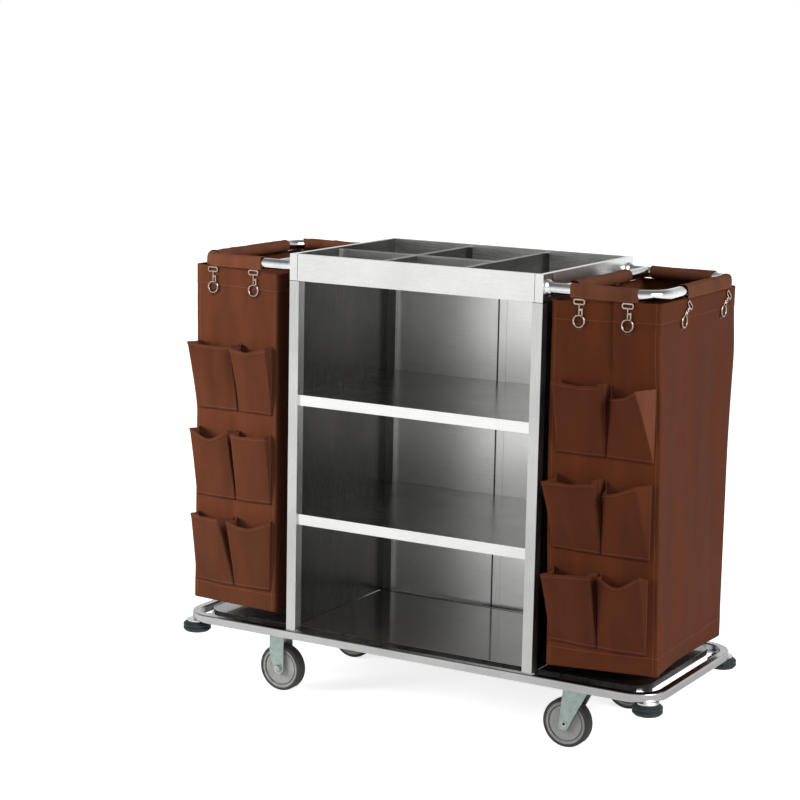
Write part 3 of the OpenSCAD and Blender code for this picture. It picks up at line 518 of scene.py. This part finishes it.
# Tray: a folded double-walled stainless tray on the posts, with bright caps over its corners and three
# loose sheet dividers that are halved into each other and stand on their bent ends.
tray_wall = 0.012
tray_clouds = (9, 9, 14)
tray_low, tray_high = node_box("tray_body")
tray_steel = brushed_steel("tray_steel", level_grain, (216, 217, 216), (231, 231, 229), (0.2, 0.34))
tray_tree = tray_steel.node_tree
tray_insides = []
for index, axis in enumerate("XY"):
    middle = (tray_low[index] + tray_high[index]) / 2
    reach = (tray_high[index] - tray_low[index]) / 2 - tray_wall
    from_middle = combine(tray_tree, "SUBTRACT", place_along(tray_tree, axis), middle)
    distance = combine(tray_tree, "ABSOLUTE", from_middle)
    tray_insides.append(combine(tray_tree, "LESS_THAN", distance, reach))
tray_within = combine(tray_tree, "MULTIPLY", *tray_insides)
tint_where(tray_steel, tray_within, (196, 196, 194), (236, 236, 234), tray_clouds)
# Inside the tray, the end walls that face +X are painted darker, as shade
tray_end_painted_shade = combine(tray_tree, "MULTIPLY", tray_within, facing(tray_tree, "X"))
tint_where(tray_steel, tray_end_painted_shade, (104, 104, 102), (138, 138, 136), tray_clouds)
cap_steel = brushed_steel("cap_steel", upright_grain, (212, 213, 212), (233, 233, 231), (0.16, 0.28))
dress(tray_steel, "tray_body")
dress(cap_steel, "tray_corner_caps")

# Each divider has a painted highlight along its top edge, and the cross dividers are a darker copy of the
# steel, painted shade
bright_edge = 0.003
divider_edge_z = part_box("divider_long")[1][2] - bright_edge
for divider_finish, dark, light, names in (
    ("divider_steel_long", (184, 184, 182), (226, 226, 224), ["divider_long"]),
    ("divider_steel_cross_painted_shade", (92, 92, 90), (122, 122, 120), ["divider_cross_left", "divider_cross_right"]),
):
    divider_steel = brushed_steel(divider_finish, (9, 9, 2400), dark, light, (0.24, 0.4))
    divider_edge = beyond(divider_steel.node_tree, "Z", divider_edge_z)
    tint_where(divider_steel, divider_edge, painted_highlight_bright, (244, 244, 242), (30, 30, 30))
    dress(divider_steel, *names)

# Bag frames: chromed round tube bent into a loop at each end of the cart, with a cross tube beside the
# cabinet and turned collars on the cabinet wall.
tube_chrome = speckled("tube_chrome", (214, 216, 218), (236, 237, 238), 30, (0.05, 0.12), metal=1.0)
dress(tube_chrome, "bag_frame_left", "bag_frame_right", "frame_collars")


# Bags: two deep open bags of coated brown cloth, sewn from panels with a turned rim and a foot band, hung
# from the frames by snap hooks. Each is one lofted shell that flares to its front corners and bellies below.
def cloth_finish(name, dark, light):
    """Plain-woven cloth on the piece's own UV map, which is in metres along the two threads."""
    weave_depth = 0.00025
    weave_share = 0.16
    hanging_streaks = (16, 16, 2.5)
    material, tree, shader = new_material(name)
    shader.inputs["Sheen Weight"].default_value = 0.03
    shader.inputs["Sheen Roughness"].default_value = 0.5
    shader.inputs["Sheen Tint"].default_value = srgb(190, 140, 110)
    shader.inputs["Specular IOR Level"].default_value = 0.12
    place = add_node(tree, "ShaderNodeTexCoord")
    threads = []
    for direction in ("X", "Y"):
        wave = add_node(
            tree, "ShaderNodeTexWave",
            {"Scale": 210.0, "Distortion": 1.2, "Detail": 2.0, "Detail Scale": 0.4},
            wave_type="BANDS", bands_direction=direction,
        )
        tree.links.new(place.outputs["UV"], wave.inputs["Vector"])
        threads.append(wave.outputs["Fac"])
    weave = combine(tree, "MULTIPLY", *threads)
    raise_bump(tree, weave, shader, weave_depth)
    clouds = stretched_noise(tree, hanging_streaks, 6.0)
    shade = combine(tree, "MULTIPLY_ADD", weave, weave_share, clouds)
    tint_over(tree, shade, dark, light, shader.inputs["Base Color"])
    spread_over(tree, clouds, 0.68, 0.9, shader.inputs["Roughness"])
    return material


def cloth_piece(name, rows, material, thickness, closed=False):
    """A cloth surface through rows of points, with a UV map in metres, given its thickness inwards."""
    width = len(rows[0])
    steps = width if closed else width - 1
    faces = []
    for row in range(len(rows) - 1):
        this_row = row * width
        next_row = this_row + width
        for column in range(steps):
            beside = (column + 1) % width
            faces.append((this_row + column, this_row + beside, next_row + beside, next_row + column))
    mesh = bpy.data.meshes.new(name)
    mesh.from_pydata([point for row in rows for point in row], [], faces)
    middle_row = rows[len(rows) // 2]
    across = [0.0]
    for column in range(1, width + 1):
        across.append(across[-1] + (middle_row[column % width] - middle_row[column - 1]).length)
    along = [0.0]
    for row in range(1, len(rows)):
        along.append(along[-1] + (rows[row][width // 2] - rows[row - 1][width // 2]).length)
    uv = mesh.uv_layers.new(name="cloth")
    for polygon in mesh.polygons:
        column = polygon.index % steps
        row = polygon.index // steps
        corners = ((column, row), (column + 1, row), (column + 1, row + 1), (column, row + 1))
        for loop, (u, v) in zip(polygon.loop_indices, corners):
            uv.data[loop].uv = (across[u], along[v])
    mesh.polygons.foreach_set("use_smooth", [True] * len(mesh.polygons))
    mesh.materials.append(material)
    piece = bpy.data.objects.new(name, mesh)
    bpy.context.scene.collection.objects.link(piece)
    wall = piece.modifiers.new("thickness", "SOLIDIFY")
    wall.thickness = thickness
    wall.offset = -1
    return piece


def smooth(low, high, value):
    """Rises smoothly from zero at low to one at high, or falls where high lies below low."""
    share = min(1.0, max(0.0, (value - low) / (high - low)))
    return share * share * (3 - 2 * share)


def ripple(x, y, z, size):
    """Even noise between about minus one and one, with waves of the given size."""
    return noise.noise(Vector((x / size, y / size, z / size)))


bag_floor, bag_top = node_box("bag_right")
bag_in = bag_floor[0]
bag_out = bag_top[0]
bag_half = (bag_top[1] - bag_floor[1]) / 2
bag_low = bag_floor[2]
rim_turn = 0.0005
bag_rim = bag_top[2] - rim_turn
bag_thickness = 0.002
band_thickness = 0.0011
welt_size = 0.0012
rim_hem_z = 0.983
foot_seam_z = 0.252
# The left bag's cloth is a paler copy of the right's: a painted sheen from the light at the left front
bag_cloths = {
    "left": cloth_finish("bag_cloth_left_painted_sheen", (74, 40, 24), (94, 52, 34)),
    "right": cloth_finish("bag_cloth_right", (72, 35, 18), (92, 46, 26)),
}
bag_outward = (Vector((0, -1)), Vector((1, 0)), Vector((0, 1)), Vector((-1, 0)))
bag_steps = (60, 46, 44, 46)
# Below this height the cloth hangs free of its rim
free_z = 0.955
# Where the front corners hang at the rim, and how far they have moved by the bottom
rim_corner_x = 0.6008
right_inner_x = 0.3445
right_inner_draw = 0.012
right_outer_x = 0.604
right_outer_flare = 0.021
left_inner_x = 0.3715
left_inner_draw = -0.002
left_outer_x = 0.598
left_outer_flare = 0.007
rear_draw = 0.006
bottom_tuck = 0.0012
tuck_height = 0.0025


def bag_corners(side, z):
    """The corners of a bag at one height, as seen from above: front inner and outer, rear outer and inner."""
    drop = (bag_rim - z) / (bag_rim - bag_low)
    tuck = bottom_tuck * smooth(bag_low + tuck_height, bag_low, z)
    if side > 0:
        front_in = right_inner_x + right_inner_draw * smooth(0.4, 1.0, drop)
        flare = right_outer_x + right_outer_flare * drop
    else:
        front_in = left_inner_x + left_inner_draw * drop
        flare = left_outer_x + left_outer_flare * drop
    front_out = rim_corner_x + (flare - rim_corner_x) * smooth(free_z, 0.80, z)
    rear_in = rear_draw * smooth(0.0, 0.5, drop)
    rear_y = bag_half - rear_in - tuck
    return (
        Vector((front_in + tuck, -bag_half + tuck)), Vector((front_out - tuck, -bag_half + tuck)),
        Vector((bag_out - rear_in - tuck, rear_y)), Vector((bag_in + tuck, rear_y)),
    )


# How far the cloth bellies out low down and draws in above, and the heights of its long hanging folds, of its
# broad folds and of its small dents
belly_out = 0.008
waist_in = 0.006
hanging_fold = 0.004
broad_fold = 0.0016
small_dent = 0.0011
# The right bag keeps a pressed crease down the upper part of its front
crease_x = 0.488
crease_depth = 0.006
crease_width = 0.006


def face_slack(side, face, along, z):
    """How far the cloth of one bag face stands out from its plane, at a share along the face and a height."""
    hang = smooth(free_z, 0.88, z) * smooth(bag_low, bag_low + 0.05, z)
    across = math.sin(math.pi * along)
    belly = belly_out * smooth(0.62, 0.32, z) - waist_in * smooth(0.55, 0.75, z)
    seed = 3.1 * side + 1.7 * face
    face_width = bag_out - bag_in if face % 2 == 0 else 2 * bag_half
    folds = hanging_fold * ripple(along * 0.9 + seed, seed, z * 0.2, 0.16)
    folds += broad_fold * ripple(along + seed, 2 * seed, z, 0.13)
    folds += small_dent * ripple(along * face_width + seed, 3 * seed, z * 0.75, 0.05)
    slack = hang * (across * belly + folds * math.sqrt(max(0.0, across)))
    if side > 0 and face == 0:
        inner, outer = bag_corners(side, z)[:2]
        off_crease = (inner.x + along * (outer.x - inner.x) - crease_x) / crease_width
        slack -= crease_depth * math.exp(-off_crease * off_crease) * smooth(0.80, 0.90, z)
    return slack


front_round = 0.005
rear_round = 0.010
rear_rim_round = 0.025
seam_blend = 0.001


def bag_face(side, face, z):
    """Points of one bag face at one height, from corner to corner, without the rounding of the corners."""
    corners = bag_corners(side, z)
    start = corners[face]
    end = corners[(face + 1) % 4]
    outer_round = rear_round + rear_rim_round * smooth(0.86, 1.0, z)
    rounds = (front_round, front_round, outer_round, rear_round)
    length = (end - start).length
    first = rounds[face] / length
    last = 1 - rounds[(face + 1) % 4] / length
    on_rim = smooth(rim_hem_z - seam_blend, rim_hem_z + seam_blend, z)
    on_foot = smooth(foot_seam_z + seam_blend, foot_seam_z - seam_blend, z)
    band = band_thickness * (on_rim + on_foot)
    points = []
    for step in range(bag_steps[face]):
        along = step / (bag_steps[face] - 1)
        spot = start.lerp(end, first + (last - first) * along)
        if face == 1:
            bow = (1 - along) - (1 - along) ** 2.5
            spot.x -= (start.x - end.x) * bow
        if face == 3:
            spot.x = start.x + (end.x - start.x) * smooth(-0.15, -0.22, spot.y)
        points.append(spot + bag_outward[face] * (face_slack(side, face, along, z) + band))
    return points


def bag_ring(side, z):
    """One level ring of the bag, counter-clockwise from above, starting on the front face."""
    corners = bag_corners(side, z)
    faces = [bag_face(side, face, z) for face in range(4)]
    ring = []
    for face in range(4):
        beside = (face + 1) % 4
        ring += faces[face]
        before = faces[face][-1]
        after = faces[beside][0]
        welt = welt_size * (bag_outward[face] + bag_outward[beside])
        for share in (0.25, 0.5, 0.75):
            bend = (corners[beside] + welt) * 2 * share * (1 - share)
            ring.append(before * (1 - share) ** 2 + bend + after * share ** 2)
    return ring


# How far the rim and the bottom rise or droop at the corners
rim_inner_droop = -0.006
rim_corner_rise = 0.0105
rim_rear_rise = 0.0018
right_foot = (-0.005, 0.014)
left_foot = (0.002, 0.006)


def bag_point(side, spot, z):
    """A point of the bag in its place, with the rise of its rim and of its bottom towards the corners."""
    outer = min(1.0, max(0.0, (spot.x - bag_in) / (bag_out - bag_in)))
    front = min(1.0, max(0.0, (bag_half - spot.y) / (2 * bag_half)))
    rim_rise = front * (rim_inner_droop + rim_corner_rise * outer) + (1 - front) * rim_rear_rise
    foot_base, foot_gain = right_foot if side > 0 else left_foot
    foot_rise = foot_base + foot_gain * outer * front
    rise = rim_rise * smooth(0.9, bag_rim, z) + foot_rise * smooth(0.34, bag_low, z)
    return Vector((side * spot.x, spot.y + cart_y, z + rise))


wall_steps = 100
wall_top = rim_hem_z - 0.002
bottom_sag = 0.004
bottom_rings = (0.04, 0.3, 0.6, 0.85, 0.98, 0.996)
rim_stitch_z = rim_hem_z + 0.0035
foot_stitch_z = foot_seam_z - 0.004
bag_levels = [bag_low, bag_low + 0.0012, bag_low + tuck_height]
bag_levels += [bag_low + (wall_top - bag_low) * step / wall_steps for step in range(1, wall_steps + 1)]
bag_levels += [rim_hem_z + 0.002, rim_hem_z + 0.012, rim_hem_z + 0.024, bag_rim - 0.005, bag_rim]
seam_lines = []
for side, side_name in ((-1, "left"), (1, "right")):
    rows = []
    bottom = bag_ring(side, bag_low)
    centre = sum(bottom, Vector((0, 0))) / len(bottom)
    for share in bottom_rings:
        sag = bottom_sag * (1 - share * share)
        rows.append([(centre.lerp(spot, share), bag_low - sag) for spot in bottom])
    for z in bag_levels:
        rows.append([(spot, z) for spot in bag_ring(side, z)])
    turned = []
    for row in rows:
        placed = [bag_point(side, spot, z) for spot, z in row]
        turned.append(placed if side > 0 else placed[::-1])
    bag = cloth_piece(f"bag_shell_{side_name}", turned, bag_cloths[side_name], bag_thickness, closed=True)
    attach(bag, "root")
    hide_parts(f"bag_{side_name}")
    for z in (rim_stitch_z, foot_stitch_z):
        seam_lines.append([bag_point(side, spot, z) for spot in bag_ring(side, z)])
    for corner_step in (1, -2):
        seam_lines.append([bag_point(side, bag_face(side, 0, z)[corner_step], z) for z in bag_levels[1:]])

# Pockets: six on the front of each bag, each sewn down at its bottom and sides with a pleated gusset, so
# that the hemmed mouth gapes. They hang open unevenly, as handled cloth does.
pocket_thickness = 0.0014
pocket_levels = 26
panel_steps = 24
gusset_shares = (0.0, 0.14, 0.28, 0.42, 0.56, 0.7, 0.84)
# How far a gusset folds in, as a share of its stand-off, and how far where it is pulled tight
pleat = 0.34
stretched_pleat = 0.04
lip_hem = 0.011
lip_thickness = 0.0011
lip_ripple = 0.0025
panel_bulge = 0.004
panel_ripple = 0.0026
seam_gap = 0.0006
gape_power = 1.2
# Seam height and mouth height of each row, from the top
pocket_rows = ((0.685, 0.850), (0.470, 0.640), (0.258, 0.430))
pocket_columns = {
    ("right", "inner"): (0.3655, 0.4815), ("right", "outer"): (0.4855, 0.5985),
    ("left", "outer"): (-0.5985, -0.4825), ("left", "inner"): (-0.4795, -0.3830),
}
# How each mouth hangs, in millimetres as seen from the front: stand-off left and right, sideways shift left
# and right, drop left and right, and the sag of the lip between them
pocket_hang = {
    ("right", "inner"): (
        (38, 38, 0, -6, 0, 4, 3), (44, 40, -14, -8, 14, 6, 2), (44, 40, -9, -4, 12, 0, 0),
    ),
    ("right", "outer"): (
        (14, 44, 8, -34, 30, 4, 6), (18, 42, 2, -26, 32, 0, 4), (20, 30, 0, -10, 4, -12, 24),
    ),
    ("left", "outer"): (
        (40, 14, -2, -14, 0, 8, 4), (38, 20, 4, -16, 0, 0, 22), (32, 40, 4, -24, 0, 2, 2),
    ),
    ("left", "inner"): (
        (36, 40, -6, 4, 8, 0, 8), (30, 30, -4, 0, 4, 4, 4), (38, 16, -4, 8, 4, 0, 16),
    ),
}
# The left pockets' cloth is a paler copy of the right's: a painted sheen from the light at the left front
pocket_cloths = {
    "left": cloth_finish("pocket_cloth_left_painted_sheen", (72, 39, 24), (90, 50, 33)),
    "right": cloth_finish("pocket_cloth_right", (70, 34, 18), (88, 44, 25)),
}
# A lighter copy of the pocket cloth, painted light, for the right gusset of the top outer pocket, which faces
# the light from the right
gusset_cloth_painted_light = cloth_finish("gusset_cloth_painted_light", (92, 50, 32), (116, 68, 48))


def pocket_point(side, x, stand, z):
    """A point of a pocket at a stand-off from the bag's front face behind it."""
    inner, outer = bag_corners(side, z)[:2]
    along = min(1.0, max(0.0, (abs(x) - inner.x) / (outer.x - inner.x)))
    face_y = -bag_half - face_slack(side, 0, along, z) + cart_y
    return Vector((x, face_y - seam_gap - stand, z))


def gusset_points(side, seam_x, edge_x, back_z, edge_z, stand, fold):
    """Points of one gusset at one level, from the bag to the edge of the front panel."""
    points = []
    for share in gusset_shares:
        x = seam_x + (edge_x - seam_x) * share + fold * math.sin(math.pi * share)
        points.append(pocket_point(side, x, stand * share, back_z * (1 - share) + edge_z * share))
    return points


def pocket_strip(side, x0, x1, seam_z, mouth_z, hang, right_pleat):
    """Rows of the pocket's cloth from its seam to its mouth: bag, gusset, front panel, gusset, bag."""
    out_left, out_right, shift_left, shift_right, drop_left, drop_right, sag = [mm / 1000 for mm in hang]
    height = mouth_z - seam_z
    rows = []
    for step in range(pocket_levels + 1):
        level = step / pocket_levels
        open_left = pocket_thickness + (out_left - pocket_thickness) * level ** gape_power
        open_right = pocket_thickness + (out_right - pocket_thickness) * level ** gape_power
        back_z = seam_z + height * level
        z_left = seam_z + (height - drop_left * level) * level
        z_right = seam_z + (height - drop_right * level) * level
        x_left = x0 + shift_left * level
        x_right = x1 + shift_right * level
        hem_start = height - lip_hem
        proud = lip_thickness * smooth(hem_start - seam_blend, hem_start + seam_blend, level * height)
        row = gusset_points(side, x0, x_left, back_z, z_left, open_left, pleat * open_left)
        for panel_step in range(panel_steps + 1):
            share = panel_step / panel_steps
            arch = math.sin(math.pi * share)
            x = x_left + (x_right - x_left) * share
            z = z_left + (z_right - z_left) * share - sag * level * level * arch ** 1.4
            z += lip_ripple * level * level * arch * ripple(x, seam_z * 5, 0, 0.03)
            out = open_left + (open_right - open_left) * share + proud
            out += panel_bulge * arch * math.sin(math.pi * level)
            out += panel_ripple * arch * ripple(x * 7, seam_z * 9, z * 5, 0.35)
            row.append(pocket_point(side, x, out, z))
        row += gusset_points(side, x1, x_right, back_z, z_right, open_right, -right_pleat * open_right)[::-1]
        rows.append(row)
    return rows


panel = slice(len(gusset_shares), len(gusset_shares) + panel_steps + 1)
for (side_name, column), (x0, x1) in pocket_columns.items():
    side = 1 if side_name == "right" else -1
    right_pleat = stretched_pleat if (side_name, column) == ("right", "outer") else pleat
    for row_index, (seam_z, mouth_z) in enumerate(pocket_rows):
        hang = pocket_hang[side_name, column][row_index]
        rows = pocket_strip(side, x0, x1, seam_z, mouth_z, hang, right_pleat)
        name = f"pocket_{side_name}_{column}_{3 - row_index}"
        pocket = cloth_piece(name, rows, pocket_cloths[side_name], pocket_thickness)
        if right_pleat == stretched_pleat and row_index == 0:
            pocket.data.materials.append(gusset_cloth_painted_light)
            columns = len(rows[0]) - 1
            for polygon in pocket.data.polygons:
                polygon.material_index = int(polygon.index % columns >= len(gusset_shares) + panel_steps)
        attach(pocket, "root")
        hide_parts(f"pockets_{side_name}")
        lip_row = round(pocket_levels * (1 - lip_hem / (mouth_z - seam_z))) + 1
        seam_lines.append(rows[lip_row][panel])
        seam_lines.append(rows[1][panel])
        seam_lines.append([row[1] for row in rows[1:]])
        seam_lines.append([row[-2] for row in rows[1:]])

# Sleeves: strips of the same cloth folded over the chromed tubes and sewn together below them, on the outer
# side, into a flat hem that the hooks hang from. They have slid a little, and leave some of the bends bare.
frame_low, frame_high = node_box("bag_frame_right")
tube_r = (frame_high[2] - frame_low[2]) / 2
tube_z = (frame_low[2] + frame_high[2]) / 2
tube_y = (frame_high[1] - frame_low[1]) / 2 - tube_r
tube_out_x = frame_high[0] - tube_r
tube_cross_x = 0.373
bend_r = 0.060
bend_x = tube_out_x - bend_r
bend_y = tube_y - bend_r
sleeve_play = 0.0016
sleeve_r = tube_r + sleeve_play
sleeve_hem_z = -0.0155
sleeve_thickness = 0.0013
sleeve_step = 0.004
sleeve_end_hem = 0.007
sleeve_slant = 0.10
# How far the cloth stands off the tube, and the heights of its folds, wrinkles, end hems and wavy lower edge
sleeve_slack = 0.0008
sleeve_fold = 0.0012
sleeve_wrinkle = 0.0007
end_hem_height = 0.0007
hem_wave = 0.0010
outer_bend_end = 72
cross_long = 0.175
cross_short = 0.103


def straight_run(start, end, out):
    """Evenly spaced places on a straight tube, each with the direction in which the hem hangs out."""
    length = (Vector(end) - Vector(start)).length
    count = max(2, round(length / sleeve_step))
    return [(Vector(start).lerp(Vector(end), step / count), Vector(out)) for step in range(count + 1)]


def bend_run(y_sign, from_turn, to_turn):
    """Places on the outer bend, with the turn in degrees from the tube's straight part along the cart."""
    count = max(2, round(math.radians(abs(to_turn - from_turn)) * bend_r / sleeve_step))
    run = []
    for step in range(count + 1):
        turn = math.radians(from_turn + (to_turn - from_turn) * step / count)
        out = Vector((math.sin(turn), y_sign * math.cos(turn)))
        run.append((Vector((bend_x, y_sign * bend_y)) + out * bend_r, out))
    return run


def sleeve_runs(side, front_start, rear_start, front_turn, rear_turn, outer_reach):
    """The four runs of one side, as if at the right: the outer and the cross one turn round with the side."""
    front = straight_run((front_start, -tube_y), (bend_x, -tube_y), (0, -1)) + bend_run(-1, 0, front_turn)[1:]
    rear = straight_run((rear_start, tube_y), (bend_x, tube_y), (0, 1)) + bend_run(1, 0, rear_turn)[1:]
    outer = straight_run((tube_out_x, -side * outer_reach), (tube_out_x, side * bend_y), (1, 0))
    outer += bend_run(side, 90, outer_bend_end)[1:]
    cross = straight_run((tube_cross_x, -side * cross_long), (tube_cross_x, side * cross_short), (-1, 0))
    return {"front": front, "rear": rear, "outer": outer, "cross": cross}


# The outer layer of the hem from its foot up: reach past the sleeve's radius, rise from the tube's middle
hem_layer = ((0.0008, -0.0120), (0.0010, -0.0080), (0.0012, -0.0035))
hem_inside = 0.0017
hem_fold = (0.0085, -0.0146)
wrap_start = 12
wrap_turn = 270
wrap_steps = 21
# A soft ridge of the cloth runs along the upper outer side of the tube
ridge_height = 0.0016
ridge_angle = 0.9
ridge_width = 0.35


def sleeve_section(crumple, hem_drop):
    """The folded strip across the tube, from the outer layer of the hem over the tube to its inner layer."""
    hem_foot = sleeve_hem_z - hem_drop
    section = [(sleeve_r + hem_layer[0][0], hem_foot)]
    section += [(sleeve_r + reach, rise) for reach, rise in hem_layer]
    for step in range(wrap_steps + 1):
        angle = math.radians(wrap_start + wrap_turn * step / wrap_steps)
        ridge = ridge_height * math.exp(-((angle - ridge_angle) / ridge_width) ** 2)
        radius = sleeve_r + ridge + crumple * max(0.0, 0.4 + 0.6 * math.sin(angle))
        section.append((radius * math.cos(angle), radius * math.sin(angle)))
    section += [hem_fold, (sleeve_r - hem_inside, hem_foot)]
    return section


def sleeve_rows(side, run, seed):
    """Rows of points along a sleeve, with small folds, a turned hem at each end and a slanting cut."""
    places = [0.0]
    for (spot, _), (before, _) in zip(run[1:], run):
        places.append(places[-1] + (spot - before).length)
    slant = sleeve_slant * math.sin(5 * seed)
    rows = []
    for index, (spot, out) in enumerate(run):
        travelled = places[index]
        ahead_spot = run[min(index + 1, len(run) - 1)][0]
        heading = (ahead_spot - run[max(index - 1, 0)][0]).normalized()
        to_end = min(travelled, places[-1] - travelled)
        crumple = sleeve_slack + sleeve_fold * ripple(travelled, seed, 0, 0.030)
        crumple += sleeve_wrinkle * ripple(travelled, seed, 3, 0.011)
        crumple += end_hem_height * smooth(sleeve_end_hem + seam_blend, sleeve_end_hem - seam_blend, to_end)
        hem_drop = hem_wave * ripple(travelled, seed, 7, 0.06)
        row = []
        for reach, rise in sleeve_section(crumple, hem_drop):
            flat = spot + out * reach + heading * rise * slant
            row.append(Vector((side * flat.x, flat.y + cart_y, tube_z + rise)))
        rows.append(row)
    return rows


# Starts of the front and rear sleeves, their turns in degrees round the bends, and the outer one's reach
sleeve_spans = {"left": (0.4165, 0.3885, 58, 40, 0.145), "right": (0.3885, 0.3885, 13, 13, 0.085)}
stitched_wrap = 16
# The sleeves are a lighter copy of the bag cloth: painted light from the right and above
sleeve_cloth_painted_light = cloth_finish("sleeve_cloth_painted_light", (80, 45, 29), (108, 65, 46))
for side, side_name in ((-1, "left"), (1, "right")):
    for run_index, (run_name, run) in enumerate(sleeve_runs(side, *sleeve_spans[side_name]).items()):
        rows = sleeve_rows(side, run, 2.3 * run_index + side)
        seam_lines.append([row[1] for row in rows])
        seam_lines.append(rows[2][:stitched_wrap])
        seam_lines.append(rows[-3][:stitched_wrap])
        heading = run[1][0] - run[0][0]
        out = run[0][1]
        if side * (heading.x * out.y - heading.y * out.x) < 0:
            rows = rows[::-1]
        sleeve = cloth_piece(f"sleeve_{side_name}_{run_name}", rows, sleeve_cloth_painted_light, sleeve_thickness)
        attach(sleeve, "root")
        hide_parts(f"sleeves_{side_name}")

# Stitches: rows of short thread stitches along the hems, the seams and the pocket edges, each a little
# uneven. They lie along the lines of the seams at an even step.
stitch_step = 0.0046
stitch_size = (0.00045, 0.00045, 0.0018)
stitch_seed = 7
thread = speckled("thread", (112, 66, 42), (146, 96, 68), 300, (0.6, 0.85))
stitches = lay_along("stitches", seam_lines, stitch_step, stitch_size, stitch_seed, thread)
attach(stitches, "root")

# Snap hooks: nickel-plated hooks with a flat ring at the sleeve's hem, a shank, a round loop and a sliding
# bolt beside it, hung through dark bronzed washers in the bag.
hook_nickel = speckled("hook_nickel", (140, 124, 112), (200, 184, 172), 90, (0.16, 0.3), metal=1.0)
eyelet_bronze = speckled("eyelet_bronze", (62, 40, 28), (96, 66, 50), 120, (0.3, 0.5), metal=0.8)
dress(hook_nickel, "hooks_upright", "hooks_leaning", "snap_bolts_upright", "snap_bolts_leaning")
dress(eyelet_bronze, "bag_eyelets")
